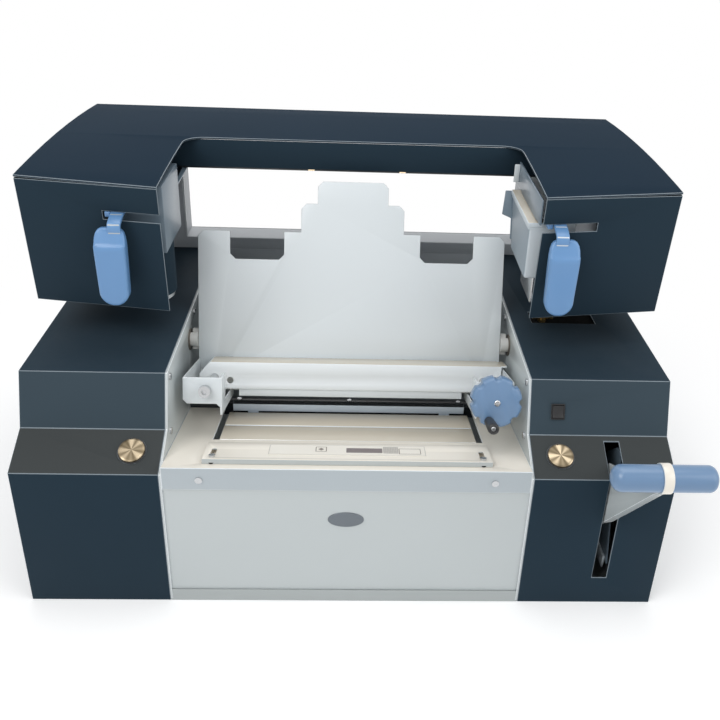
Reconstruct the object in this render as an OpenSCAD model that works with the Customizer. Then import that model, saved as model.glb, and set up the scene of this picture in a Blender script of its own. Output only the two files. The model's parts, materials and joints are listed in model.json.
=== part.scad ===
// Bench perfect binding machine: a book clamp that turns between two
// pedestals, with a roughening carriage and a glue carriage under an arch.
// +X is to the operator's right, +Y runs to the back, +Z is up.
// The origin is under the middle of the base pan.

/* [Base] */
// Depth of the base
base_d = 590; // [580:1:640]
// Height of the arch's top above the base pan
arch_z = 573; // [560:1:590]
// Clear width between the two inner walls
bay_w = 499.6; // [497:0.2:505]
// Width of each pedestal beside its inner wall
pedestal_w = 197.2; // [185:0.2:210]
// Thickness of the inner walls
wall_t = 3; // [2:0.5:4]
// Thickness of the casing sheet
sheet_t = 2; // [1.5:0.5:2.5]
// Height of the vertical front face
fold1_z = 224; // [215:1:235]
// Run of the lower sloped face
fold2_run = 61; // [58:1:64]
// Rise of the lower sloped face
fold2_rise = 31; // [28:1:34]
// Run of the upper sloped face
fold3_run = 28; // [25:1:31]
// Rise of the upper sloped face
fold3_rise = 74; // [70:1:78]
// Height of the flanges of the base pan
pan_h = 20; // [14:1:24]

/* [Arch] */
// Gap between the raised back plate and the carriages' arm plates
arm_gap = 1.7; // [1.2:0.1:3]
// Height of the towers' front faces
tower_h = 187; // [180:1:195]
// Height of the beam's front face
beam_h = 37; // [34:1:44]
// Rise of the crowned arch top between front and back
crown = 8; // [4:1:14]
// Thickness of the crowned arch top
top_t = 3; // [2:0.5:4]
// Setback of the towers' front faces at their inner edges
tower_y = 147; // [142:1:152]
// Further setback of the towers' front faces at their outer edges
tower_skew = 31; // [20:1:40]
// Setback of the towers' lower front edge behind the upper one
tower_lean = 17; // [10:1:20]
// Distance from an inner wall's outer face to the tower's inner edge
tower_in = 3.2; // [2:0.2:8]
// Depth from the front face to the back edge of the arch cut-out
beam_y = 365; // [360:1:372]
// Radius of the inner corners of the arch cut-out
cutout_r = 28; // [10:1:36]
// Distance from the tower's inner edge to the window's side
window_in = 44; // [20:1:60]
// Height of the window sill above the pedestal tops
sill_h = 21; // [14:1:30]
// Depth of the rear frame
rear_t = 53; // [40:1:60]

/* [Clamp] */
// Depth of the clamp's turning axis behind the front face
pivot_y = 255; // [252:1:258]
// Drop of the clamp's turning axis below the pedestal tops
pivot_drop = 37; // [30:1:40]
// Lean of the back plate from upright
lean = 18; // [15:0.5:20]
// Thickness of the back plate
plate_t = 3; // [2:0.5:3]
// Gap between the back plate's edge and the inner wall
plate_gap = 13.3; // [12:0.1:16]
// Length of the back plate below the axis
plate_low = 80; // [76:1:84]
// Distance from the back plate's edge to each lead screw
screw_in = 32.1; // [31:0.1:34]
// Depth of the lead screws below the axis
screw_s = 48.7; // [47:0.1:50]
// Radius of the lead screws
screw_r = 6; // [5:0.5:7]
// Reach of the brackets in front of the back plate
reach = 134; // [130:1:140]
// Gap between the back plate's front and the closed jaw
jaw_gap = 6.5; // [6:0.5:9]
// Depth of the jaw bar
jaw_d = 44; // [40:1:46]
// Height of the jaw bar's front face
jaw_h = 41; // [38:1:42]
// Radius of the pivot pins
pin_r = 11; // [9:0.5:12]
// Radius of the star knob
knob_r = 36.5; // [32:0.5:36.5]
// Number of lobes of the star knob
knob_lobes = 8; // [6:1:12]
// Thickness of the star knob
knob_t = 20; // [18:1:24]

/* [Carriages] */
// Radius of the carriage rails
rail_r = 8; // [6:0.5:9]
// Distance from the beam's front face to the front rail
rail_in = 45; // [42:1:60]
// Distance from the rear rail to the rear frame
rail_out = 47; // [30:1:50]
// Thickness of the arm plates
arm_t = 3; // [2.5:0.5:3.5]
// Radius of the roughening cutter
cutter_r = 38; // [32:1:38]
// Width of the roughening carriage's housing
mill_w = 90; // [86:1:100]
// Radius of the glue roller
roller_r = 20; // [16:1:21]
// Gap between the back plate's edge and the glue tank
tank_gap = 7.5; // [6:0.5:12]
// Width of the glue tank
tank_w = 66; // [62:1:76]
// Width of the carriage handles
handle_w = 42; // [38:1:50]
// Length of the carriage handles
handle_l = 109; // [100:1:120]
// Thickness of the carriage handles
handle_t = 19; // [14:1:22]
// Distance from a tower's inner edge to the left handle
handle1_in = 65; // [58:1:66]
// Distance from a tower's inner edge to the right handle
handle2_in = 30; // [25:1:34]
// Height of the handle slots
slot_h = 12; // [10:0.5:14]

/* [Table] */
// Height of the table's front edge above the vertical front face
table_up = 12; // [8:1:14]
// Fall of the table towards the back for each unit of depth
table_fall = 0.21; // [0.19:0.01:0.22]
// Distance from the back plate's edge to the lifting table's side
press_in = 50.5; // [48:0.5:60]
// Width of the gap beside the lifting table
press_gap = 8.5; // [6:0.5:10]
// Distance from the back plate's edge to the ruler bar's end
ruler_in = 39.5; // [36:0.5:50]
// Depth of the ruler bar
ruler_d = 58; // [52:1:60]
// Height of the ruler bar
ruler_h = 7.5; // [6:0.5:9]

/* [Lever and controls] */
// Reach of the grip in front of the lever's shaft
lever_reach = 270; // [262:1:272]
// Height of the grip above the lever's shaft
lever_rise = 265; // [260:1:275]
// Distance from an inner wall to the lever slot's middle
lever_in = 115.2; // [105:0.2:125]
// Height of the lever shaft
lever_z = 70; // [64:1:74]
// Width of the lever slot
lever_slot_w = 21; // [20:0.5:24]
// Thickness of the lever's plate
lever_t = 3; // [2.5:0.5:4]
// Width of the lever's folded edge
lever_w = 12; // [10:0.5:13]
// Length of the lever grip
grip_l = 124; // [110:1:130]
// Radius of the lever grip
grip_r = 16.2; // [14:0.1:18]
// Radius of the lever shaft
shaft_r = 9; // [8:0.5:11]
// Eccentricity of the lifting discs
lift_e = 9; // [6:0.5:9]
// Radius of the push buttons
button_r = 17.8; // [14:0.1:18]
// Distance from an inner wall to the push buttons' centres
button_in = 40.2; // [36:0.2:60]
// Width of the rocker switch
rocker_w = 16; // [13:0.5:18]
// Height of the rocker switch
rocker_h = 18; // [15:0.5:20]

/* [Hidden] */

$fn = 48;

// Overlap of cutters past the faces that they cut
eps = 1;
// Radial clearance of turning and sliding fits
fit = 0.05;
// Gap between pieces that pass each other
gap = 0.4;

bay_x = bay_w / 2;
wall_x = bay_x + wall_t;
half_w = wall_x + pedestal_w;
gap_x = wall_x + tower_in;
window_x = gap_x + window_in;

// Corners of the pedestals
fold2_y = fold2_run;
fold2_z = fold1_z + fold2_rise;
fold3_y = fold2_y + fold3_run;
top_z = fold2_z + fold3_rise;
table_z = fold1_z + table_up;

// The clamp, and what clears it as it turns
pivot_z = top_z - pivot_drop;
plate_x = bay_x - plate_gap;
screw_x = plate_x - screw_in;
back_y = base_d - rear_t;
beam_z = arch_z - beam_h;
arm_z = beam_z - arm_t - 3.4;
plate_top = (arm_z - arm_gap - pivot_z) / cos(lean);
tower_z = arch_z - tower_h;
hood_z = arch_z - 8;
sill_z = top_z + sill_h;

// Rails and carriages
rail1_y = beam_y + rail_in;
rail2_y = back_y - rail_out;
rail_z = beam_z + 17;
tank_x = plate_x + tank_gap;
cut_z = top_z + 50;
mill_x = -gap_x - mill_w / 2;
mill_y = pivot_y - 17;
roller_x = tank_x + 42;
roller_z = cut_z + 20.2;

// Table, nip bar and controls
nip_y = pivot_y - 37;
press_x = plate_x - press_in;
ruler_x = plate_x - ruler_in;
lever_x = wall_x + lever_in;
lever_y = 130;
button_x = wall_x + button_in;

// Opening in the right pedestal's top
gland_x = wall_x + 32;
gland_w = 101;
gland_y = pivot_y + 7;
gland_d = 38;

slate = [0.2, 0.25, 0.29];
pale = [0.83, 0.86, 0.87];
cream = [0.88, 0.86, 0.82];
sky = [0.5, 0.64, 0.82];
steel = [0.7, 0.71, 0.73];
black = [0.08, 0.08, 0.09];
brass = [0.75, 0.6, 0.3];

// Slopes of the lower and upper front faces, in degrees
slope1 = atan2(fold2_z - fold1_z, fold2_y);
slope2 = atan2(top_z - fold2_z, fold3_y - fold2_y);

// Height of the crowned arch top at a depth y
function crown_z(y) = arch_z
    + crown * (1 - pow((2 * y - tower_y - base_d) / (base_d - tower_y), 2));
crown_y = [for (i = [0:8]) tower_y + i * (base_d - tower_y) / 8];

// A corner moved in by t, between faces with outward normals n and m
function inset(v, n, m, t) = v - t * (n + m) / (1 + n * m);
n0 = [-1, 0];
n1 = [-sin(slope1), cos(slope1)];
n2 = [-sin(slope2), cos(slope2)];
n3 = [0, 1];

// Front skew of the towers, in degrees, and their lean
half_skew = atan2(tower_skew, half_w - gap_x);
tower_tilt = atan(tower_lean / tower_h * cos(half_skew));
// Setback of a tower's front face at x and z
function tower_face(x, z) = tower_y + (x - gap_x) * tan(half_skew)
    + (arch_z - z) * tower_lean / tower_h;

// Places things that are measured from the middle of the base's front edge.
module from_front() {
    translate([0, -base_d / 2, 0]) children();
}

// Extrudes a (y, z) outline along X from x0 to x1.
module along_x(x0, x1) {
    translate([x0, 0, 0])
        rotate([90, 0, 90])
            linear_extrude(x1 - x0) children();
}

// A box given by its two corners.
module box(a, b) {
    translate(a) cube(b - a);
}

// A rod along X.
module rod_x(x0, x1, y, z, r) {
    translate([x0, y, z]) rotate([0, 90, 0]) cylinder(r = r, h = x1 - x0);
}

// Draws its children at both sides of the middle plane.
module both_sides() {
    children();
    mirror([1, 0, 0]) children();
}

// The clamp's own frame: the axis is X, +Z runs up the back plate.
module clamp_frame() {
    from_front() translate([0, pivot_y, pivot_z]) rotate([-lean, 0, 0]) children();
}

// The table's own frame: +Y runs down the slope to the back.
module table_frame() {
    from_front() translate([0, 0, table_z]) rotate([-atan(table_fall), 0, 0]) children();
}

// The lower front face's own frame: +Y runs up the slope, +Z points out.
module button_frame(side) {
    from_front() translate([side * button_x, 0, fold1_z]) rotate([slope1, 0, 0])
        translate([0, 35.2, 0]) children();
}

// The upper front face's own frame, at the rocker switch.
module rocker_frame() {
    from_front() translate([button_x - 1, fold2_y, fold2_z]) rotate([slope2, 0, 0])
        translate([0, 33.7, 0]) children();
}

// Height of the table's surface at a depth y.
function bed_z(y) = table_z - table_fall * y;

// ---- Base ----

module base_pan() {
    color(pale) from_front() {
        box([-half_w + sheet_t, sheet_t, 0], [half_w - sheet_t, base_d - sheet_t, 2.5]);
        box([-wall_x, 0, 0], [wall_x, base_d, 2.5]);
        box([-bay_x, 0, 0], [bay_x, 2.5, pan_h]);
    }
}

// The side outline of a pedestal, sheet thickness t inside the outer faces.
module pedestal(t, back, floor_z) {
    polygon([
        [t, floor_z], inset([0, fold1_z], n0, n1, t),
        inset([fold2_y, fold2_z], n1, n2, t), inset([fold3_y, top_z], n2, n3, t),
        [back, top_z - t], [back, floor_z]
    ]);
}

module casing() {
    difference() {
        along_x(wall_x, half_w) pedestal(0, base_d, 0);
        along_x(wall_x - eps, half_w - sheet_t) pedestal(sheet_t, base_d - sheet_t, -eps);
        // push button
        translate([button_x, 0, fold1_z]) rotate([slope1, 0, 0])
            translate([0, 35.2, -10]) cylinder(r = button_r + 1.2, h = 20);
    }
}

module left_casing() {
    color(slate) from_front() mirror([1, 0, 0]) difference() {
        casing();
        // power inlet
        box([half_w - 65, base_d - 10, 60], [half_w - 17, base_d + eps, 90]);
    }
}

module right_casing() {
    color(slate) from_front() difference() {
        casing();
        // lever slot
        along_x(lever_x - lever_slot_w / 2, lever_x + lever_slot_w / 2)
            polygon([
                [-5, lever_z - 22], [10, lever_z - 22], [10, fold1_z - 12],
                [fold2_y - 8, fold2_z - 19], [fold2_y - 8, fold2_z + 20], [-5, fold2_z + 20]
            ]);
        // rocker switch
        translate([button_x - 1, fold2_y, fold2_z]) rotate([slope2, 0, 0])
            translate([-rocker_w / 2 - 1, 33.7 - rocker_h / 2 - 1, -10])
                cube([rocker_w + 2, rocker_h + 2, 20]);
        // opening over the cable gland
        box([gland_x, gland_y, top_z - 5], [gland_x + gland_w, gland_y + gland_d, top_z + eps]);
    }
}

module wall() {
    difference() {
        along_x(bay_x, wall_x) pedestal(0, base_d, 2.5);
        rod_x(bay_x - eps, wall_x + eps, pivot_y, pivot_z, pin_r + 4);
        rod_x(bay_x - eps, wall_x + eps, lever_y, lever_z, shaft_r + 5);
    }
}

module left_wall() {
    color(pale) from_front() mirror([1, 0, 0]) wall();
}

module right_wall() {
    color(pale) from_front() wall();
}

module front_panel() {
    color(pale) from_front()
        box([-bay_x, 2, pan_h], [bay_x, 4, fold1_z - 24]);
}

module badge_plate() {
    color(steel) from_front() translate([-2, 2, 150]) rotate([90, 0, 0])
        linear_extrude(1.2)
            polygon([for (i = [0:35]) [25 * cos(10 * i), 12.5 * sin(10 * i)]]);
}

// The fixed table: fascia, front ledge and the two side sections.
module table_bed() {
    low = fold1_z - 24;
    back = nip_y - 0.4;
    color(cream) from_front() difference() {
        union() {
            along_x(-bay_x, bay_x)
                polygon([
                    [0, low], [0, bed_z(0)], [back, bed_z(back)],
                    [back, bed_z(back) - 3], [3, bed_z(3) - 3], [3, low]
                ]);
            // ribs to which the sheet is screwed
            both_sides() along_x(bay_x - 12, bay_x)
                polygon([[20, bed_z(20) - 3], [200, bed_z(200) - 3], [200, bed_z(200) - 15],
                    [20, bed_z(20) - 15]]);
        }
        box([-press_x - press_gap, 95.4, low - 50],
            [press_x + press_gap, nip_y + 50, table_z + 50]);
        // holes of the ruler bar's screws
        translate([0, 0, table_z]) rotate([-atan(table_fall), 0, 0])
            for (x = [-ruler_x + 12.5, ruler_x - 12.5])
                translate([x, 21.5, -10]) cylinder(r = 3, h = 20);
    }
}

// ---- Rear and arch ----

module rear_panel() {
    color(slate) from_front() {
        box([-bay_x, back_y, 2.5], [bay_x, back_y + sheet_t, top_z]);
        box([-bay_x, base_d - sheet_t, 2.5], [bay_x, base_d, top_z]);
    }
}

// The front sheet of the rear frame.
module rear_frame() {
    color(slate) from_front() difference() {
        box([-half_w + sheet_t, back_y, top_z],
            [half_w - sheet_t, back_y + sheet_t, crown_z(back_y + sheet_t) - sheet_t - 0.4]);
        box([-window_x, back_y - eps, sill_z], [window_x, back_y + sheet_t + eps, beam_z - 3]);
    }
}

// The linings of the window.
module window_lining() {
    color(slate) from_front() difference() {
        box([-window_x - sheet_t, back_y + sheet_t, sill_z - sheet_t],
            [window_x + sheet_t, base_d - sheet_t, beam_z - 3 + sheet_t]);
        box([-window_x, back_y, sill_z], [window_x, base_d, beam_z - 3]);
    }
}

module arch_back() {
    color(slate) from_front() difference() {
        box([-half_w + sheet_t, base_d - sheet_t, top_z],
            [half_w - sheet_t, base_d, arch_z - sheet_t]);
        box([-window_x, base_d - 5, sill_z], [window_x, base_d + eps, beam_z - 3]);
    }
}

module arch_top() {
    color(slate) from_front() intersection() {
        along_x(-half_w, half_w)
            polygon(concat(
                [for (y = crown_y) [y, crown_z(y) - sheet_t + top_t]],
                [for (i = [len(crown_y) - 1:-1:0])
                    [crown_y[i], crown_z(crown_y[i]) - sheet_t]]
            ));
        translate([0, 0, arch_z - 20]) linear_extrude(60) polygon(concat(
            [[-half_w, tower_y + tower_skew], [-gap_x, tower_y]],
            [for (a = [180:-10:90])
                [-gap_x + cutout_r + cutout_r * cos(a), beam_y - cutout_r + cutout_r * sin(a)]],
            [for (a = [90:-10:0])
                [gap_x - cutout_r + cutout_r * cos(a), beam_y - cutout_r + cutout_r * sin(a)]],
            [[gap_x, tower_y], [half_w, tower_y + tower_skew], [half_w, base_d], [-half_w, base_d]]
        ));
    }
}

// Front sheet and outer side of a tower. The inner side and the bottom are open.
module tower() {
    difference() {
        intersection() {
            translate([gap_x, tower_y, arch_z])
                rotate([tower_tilt, 0, half_skew])
                    translate([-60, 0, -tower_h - 40]) cube([pedestal_w + 130, sheet_t, tower_h + 70]);
            box([gap_x, 0, tower_z], [half_w, tower_y + 200, arch_z - sheet_t + 0.2]);
        }
        // slot that the carriage's handle bracket runs in
        box([gap_x - eps, 0, arm_z + arm_t + 1.5 - slot_h],
            [gap_x + 78, tower_y + 200, arm_z + arm_t + 1.5]);
    }
    along_x(half_w - sheet_t, half_w) polygon([
        [tower_face(half_w, arch_z) + 1, arch_z - sheet_t],
        [tower_face(half_w, tower_z) + 1, tower_z],
        [back_y - 22, tower_z], [back_y, top_z], [base_d, top_z],
        for (i = [8:-1:1]) [crown_y[i], crown_z(crown_y[i]) - sheet_t]
    ]);
}

module left_tower() {
    color(slate) from_front() mirror([1, 0, 0]) tower();
}

module right_tower() {
    color(slate) from_front() tower();
}

module beam_face() {
    x = gap_x + 34;
    color(slate) from_front() {
        box([-x, beam_y, beam_z], [x, beam_y + sheet_t, crown_z(beam_y) - sheet_t - 0.4]);
        box([-x, beam_y + sheet_t, beam_z], [x, beam_y + 20, beam_z + sheet_t]);
    }
}

module beam_trim() {
    color(black) from_front()
        box([-gap_x - 29, beam_y + 0.5, beam_z - 2.6], [gap_x + 29, beam_y + 8, beam_z]);
}

module carriage_rails() {
    color(steel) from_front() {
        for (y = [rail1_y, rail2_y])
            rod_x(-half_w + 10, half_w - 10, y, rail_z, rail_r);
        both_sides() difference() {
            box([half_w - 12, rail1_y - 16, rail_z - 17],
                [half_w - sheet_t, rail2_y + 16, rail_z + 14]);
            box([half_w - 13, rail1_y + 16, rail_z - 30],
                [half_w - 1, rail2_y - 16, rail_z + 30]);
        }
    }
}

// ---- Fittings of the base ----

module pivot_bushes() {
    color(brass) from_front() both_sides() difference() {
        union() {
            rod_x(bay_x, bay_x + 10, pivot_y, pivot_z, pin_r + 4);
            rod_x(bay_x - 1.6, bay_x, pivot_y, pivot_z, pin_r + 6);
        }
        rod_x(bay_x - 5, bay_x + 20, pivot_y, pivot_z, pin_r + fit);
    }
}

// Cross beam that guides the posts of the lifting table.
module guide_beam() {
    color(steel) from_front() difference() {
        box([-bay_x, lever_y - 18, lever_z + 78], [bay_x, lever_y + 30, lever_z + 90]);
        for (x = [-120, 120])
            translate([x, lever_y + 6, lever_z]) cylinder(r = 10 + fit, h = 120);
    }
}

// Fixed strip that the nip bar closes over, with the guides of its rods.
module anvil_strip() {
    color(black) from_front() difference() {
        box([-bay_x, nip_y, nip_z() - 22], [bay_x, nip_y + 17, nip_z()]);
        for (x = [-150, 150])
            translate([x, nip_y - 8, nip_z() - 14]) rotate([-90, 0, 0])
                cylinder(r = 4 + fit, h = 40);
    }
}

// Height of the strip's top.
function nip_z() = bed_z(nip_y) + 9.8;

module lever_bearings() {
    color(brass) from_front() both_sides() difference() {
        union() {
            rod_x(bay_x, bay_x + 10, lever_y, lever_z, shaft_r + 5);
            rod_x(bay_x - 3, bay_x, lever_y, lever_z, shaft_r + 8);
        }
        rod_x(bay_x - 5, bay_x + 20, lever_y, lever_z, shaft_r + fit);
    }
}

module control_bezels() {
    color(black) {
        for (side = [-1, 1]) button_frame(side) difference() {
            union() {
                cylinder(r = button_r + 1.6, h = 1.2);
                translate([0, 0, -16]) cylinder(r = button_r + 1.2, h = 16.5);
            }
            translate([0, 0, -12]) cylinder(r = button_r + fit, h = 20);
        }
        rocker_frame() difference() {
            union() {
                translate([-rocker_w / 2 - 1.5, -rocker_h / 2 - 2, 0])
                    cube([rocker_w + 3, rocker_h + 4, 1.6]);
                translate([-rocker_w / 2 - 1, -rocker_h / 2 - 1, -18])
                    cube([rocker_w + 2, rocker_h + 2, 18.5]);
            }
            translate([-rocker_w / 2 - gap, -rocker_h / 2 - 0.6, -14])
                cube([rocker_w + 2 * gap, rocker_h + 1.2, 20]);
        }
    }
}

module power_inlet() {
    color(black) from_front() difference() {
        box([-half_w + 17, base_d - 32, 60], [-half_w + 65, base_d, 90]);
        box([-half_w + 26, base_d - 20, 66], [-half_w + 56, base_d + eps, 84]);
    }
}

// Tray under the opening in the right pedestal's top, with a brass elbow on it.
module cable_gland() {
    color(brass) from_front() {
        box([gland_x - 4, gland_y - 4, top_z - sheet_t - 4],
            [gland_x + gland_w + 4, gland_y + gland_d + 4, top_z - sheet_t]);
        box([gland_x + 12, gland_y + 6, top_z - sheet_t], [gland_x + 25, gland_y + 18, top_z + 4]);
        rod_x(gland_x + 3, gland_x + 34, gland_y + 12, top_z + 7, 6);
    }
}

module screws() {
    color(steel) {
        from_front() {
            // screws of the inner walls, the fascia and the strip
            for (p = [[99, top_z - 11], [76, fold2_z - 12], [14, 142], [14, 32],
                [pivot_y + 45, top_z - 11], [back_y - 57, top_z - 11]])
                both_sides() rod_x(bay_x - 2.4, bay_x, p[0], p[1], 5);
            for (x = [-200, 200])
                translate([x, 0, fold1_z - 7.5]) rotate([90, 0, 0]) cylinder(r = 5, h = 1.6);
            for (x = [-174, 0, 174])
                translate([x, nip_y + 10, nip_z()]) cylinder(r = 3.5, h = 1.6);
        }
        // guide screws of the ruler bar
        for (x = [-ruler_x + 12.5, ruler_x - 12.5]) table_frame() {
            translate([x, 21.5, -3]) cylinder(r = 3, h = ruler_h + 3.4);
            translate([x, 21.5, ruler_h + 0.2]) cylinder(r = 4.3, h = 2.6);
        }
    }
}

// ---- Clamp ----

// Notched outline of the back plate.
module plate_outline() {
    e = plate_x;
    n = plate_x - 49;
    t = plate_top;
    polygon([
        [-e, -plate_low], [-e, t - 86], [-e + 8, t - 78], [-n, t - 78],
        [-n, t - 113], [-n + 8, t - 121], [-113, t - 121], [-105, t - 113], [-105, t - 78],
        [-79, t - 78], [-79, t - 42], [-71, t - 34], [-54, t - 34], [-54, t - 8], [-46, t],
        [46, t], [54, t - 8], [54, t - 34], [71, t - 34], [79, t - 42], [79, t - 78],
        [105, t - 78], [105, t - 113], [113, t - 121], [n - 8, t - 121], [n, t - 113],
        [n, t - 78], [e - 8, t - 78], [e, t - 86], [e, -plate_low]
    ]);
}

module back_plate() {
    color(pale) clamp_frame() difference() {
        translate([0, plate_t, 0]) rotate([90, 0, 0]) linear_extrude(plate_t) plate_outline();
        for (x = [-screw_x, screw_x])
            translate([x, -5, -screw_s]) rotate([-90, 0, 0]) cylinder(r = screw_r + 2, h = 20);
    }
}

module pivot_pins() {
    color(steel) clamp_frame() both_sides() {
        box([plate_x - 40.5, plate_t, -16], [bay_x - 3.8, 14, 16]);
        rod_x(plate_x + 0.4, wall_x + 11.2, 0, 0, pin_r);
    }
}

module bracket(out) {
    t = 2.7;
    x0 = screw_x - 23.4;
    x1 = plate_x - 0.2;
    difference() {
        union() {
            translate([0, -reach + t, 0]) rotate([90, 0, 0]) linear_extrude(t)
                polygon([[x0, -30], [x1, -30], [x1, -62], [x1 - 6, -68], [x0 + 8, -68],
                    [x0 + t, -73], [x0 + t, -84], [x0, -84]]);
            box([x1 - t, -reach + t, -62], [x1, 0, -30]);
            if (out > 0) box([x1 - t, -reach - out, -62], [x1, -reach + t, -34]);
            along_x(x0, x0 + t)
                polygon([[-reach + t, -30], [-100, -30], [-100, -70], [-11, -70],
                    [-11, -84], [-reach + t, -84]]);
        }
        translate([screw_x, -reach - 5, -screw_s]) rotate([-90, 0, 0])
            cylinder(r = screw_r + fit, h = 10);
    }
}

module left_bracket() {
    color(pale) clamp_frame() mirror([1, 0, 0]) bracket(0);
}

module right_bracket() {
    color(pale) clamp_frame() bracket(11);
}

// Bearing bar behind the back plate.
module tie_bar() {
    color(steel) clamp_frame() difference() {
        box([-plate_x + 8.5, plate_t, -62], [plate_x - 8.5, plate_t + 4, -36]);
        for (x = [-screw_x, screw_x])
            translate([x, 0, -screw_s]) rotate([-90, 0, 0]) cylinder(r = screw_r + fit, h = 20);
    }
}

// Toothed belt between the two lead screws.
module sync_belt() {
    color(black) clamp_frame() translate([0, 9.5, -screw_s]) {
        for (z = [-15.2, 13.4])
            translate([-screw_x, 0, z]) cube([2 * screw_x, 8, 1.8]);
        both_sides() translate([screw_x, 0, 0]) difference() {
            rotate([-90, 0, 0]) cylinder(r = 15.2, h = 8);
            translate([0, -1, 0]) rotate([-90, 0, 0]) cylinder(r = 13.4, h = 10);
            translate([-20, -1, -20]) cube([20, 10, 40]);
        }
    }
}

module belt_cover() {
    x = plate_x - 6.5;
    color(pale) clamp_frame() {
        box([-x, 22, -68], [x, 24, -29]);
        box([-x, plate_t, -31], [x, 22, -29]);
        box([-x, plate_t, -68], [x, 22, -66]);
        both_sides() box([x - 2, plate_t, -66], [x, 22, -31]);
    }
}

// The moving jaw: a channel with two nut blocks.
module jaw_bar() {
    d0 = jaw_gap;
    d1 = jaw_gap + jaw_d;
    low = -25 - jaw_h;
    x0 = -plate_x + 9.5;
    x1 = plate_x - 4.5;
    lip = screw_x - 28.4;
    color(pale) clamp_frame() difference() {
        union() {
            box([x0, -d1, -28], [x1, -d0, -25]);
            box([x0, -d1, low], [x1, -d1 + 3, -28]);
            box([x0, -d0 - 4, low], [x1, -d0, -28]);
            box([-lip, -d0 - 4, -76], [lip, -d0, low]);
            box([x1, -d1 + 4, -27.5], [x1 + 9, -d0 - 4, -25]);
            for (x = [-screw_x, screw_x])
                box([x - 13, -d1 + 3, low + 2], [x + 13, -d0 - 4, -28]);
        }
        for (x = [-screw_x, screw_x])
            translate([x, -100, -screw_s]) rotate([-90, 0, 0])
                cylinder(r = screw_r + fit, h = 120);
        // cut corner at the left end
        rotate([90, 0, 0]) translate([0, 0, d0 - 1]) linear_extrude(jaw_d + 2)
            polygon([[x0 - 13, -20], [x0 + 16, -20], [x0 + 16, -25], [x0 + 8, -33],
                [x0, -43], [x0 - 13, -43]]);
        // hole in the front face
        translate([-screw_x + 23.4, -d1 - 1, -53]) rotate([-90, 0, 0]) cylinder(r = 5, h = 5);
    }
}

// A rod along the clamp's Y at a screw's axis, from y0 to y1.
module rod_d(y0, y1, r) {
    translate([0, y0, 0]) rotate([-90, 0, 0]) cylinder(r = r, h = y1 - y0);
}

module lead_screw() {
    rod_d(-reach - 30, 20, screw_r);
    rod_d(plate_t + 5.5, 19, 13);
    rod_d(-reach + 3.2, -reach + 7, 9);
}

module right_screw() {
    color(steel) clamp_frame() translate([screw_x, 0, -screw_s]) {
        lead_screw();
        rod_d(-reach - 12.4, -reach - 0.4, 9);
    }
}

module left_screw() {
    color(steel) clamp_frame() translate([-screw_x, 0, -screw_s]) difference() {
        union() {
            rod_d(-reach - 8, 20, screw_r);
            rod_d(plate_t + 5.5, 19, 13);
            rod_d(-reach + 3.2, -reach + 7, 9);
            rod_d(-reach - 10, -reach - 0.4, 8.5);
        }
        // hexagon socket
        translate([0, -reach - 11, 0]) rotate([-90, 0, 0]) cylinder(r = 4.6, h = 6, $fn = 6);
    }
}

module star_knob() {
    y1 = -reach - 26;
    color(sky) clamp_frame() translate([screw_x, 0, -screw_s]) difference() {
        union() {
            rod_d(y1 - knob_t, y1, knob_r);
            rod_d(y1, -reach - 13, 15);
        }
        // hollows between the lobes
        for (i = [0:knob_lobes - 1]) rotate([0, i * 360 / knob_lobes, 0])
            translate([knob_r + 2.3, 0, 0]) rod_d(y1 - knob_t - 1, y1 + 0.5, 6.4);
        rod_d(y1 - knob_t + 16, y1 + 60, screw_r);
        // recess of the centre screw
        rod_d(y1 - knob_t - 1, y1 - knob_t + 4, 6);
    }
    // spindle and screw of the crank grip
    color(sky) clamp_frame() crank_place() {
        rod_d(-41, 3, 3);
        rod_d(-41.5, -39.5, 3.6);
    }
}

// Place of the crank grip on the knob's front face.
module crank_place() {
    translate([screw_x - 10.5, -reach - 26 - knob_t, -screw_s - 25.6]) children();
}

module crank_grip() {
    color(black) clamp_frame() crank_place() difference() {
        rod_d(-42, -gap, 7.9);
        rod_d(-50, 5, 3 + fit);
        rod_d(-43, -39, 4);
    }
}

// ---- Roughening carriage, parked in the left tower ----

// Arm plate and bearing blocks, between x0 and x1.
module carriage(x0, x1, y0) {
    difference() {
        union() {
            box([x0, y0, arm_z], [x1, rail2_y + 14, arm_z + arm_t]);
            for (y = [rail1_y, rail2_y])
                box([x0 + 12, y - 13, arm_z + arm_t], [x1 - 12, y + 13, rail_z + 13]);
        }
        for (y = [rail1_y, rail2_y])
            rod_x(x0 - 5, x1 + 5, y, rail_z, rail_r + fit);
    }
}

// Depth of the front of a handle's bracket at x.
function bracket_y(x) = tower_face(abs(x), arm_z) - 24;

// Bracket that runs out through a tower's slot to a handle at x.
module handle_bracket(x, w) {
    y = bracket_y(x);
    along_x(x - w / 2, x + w / 2) polygon([
        [y, arm_z - 30], [y + 3, arm_z - 30], [y + 3, arm_z - 7.5], [y + 20, arm_z],
        [tower_y + 60, arm_z], [tower_y + 60, arm_z + arm_t], [y + 19, arm_z + arm_t],
        [y, arm_z - 5]
    ]);
}

// Middles of the two handles and of their brackets.
handle1_x = -gap_x - handle1_in;
handle2_x = gap_x + handle2_in;
neck1_x = handle1_x + 7;
neck2_x = handle2_x - 5;

module mill_carriage() {
    color(pale) from_front() {
        carriage(-gap_x - mill_w + 2, -gap_x - 2, tower_y + 45);
        handle_bracket(neck1_x, 16);
    }
}

// Depth of the housing's front, behind the tower's front sheet.
mill_front = tower_face(gap_x + mill_w, arm_z - 60) + sheet_t + 3;

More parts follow.
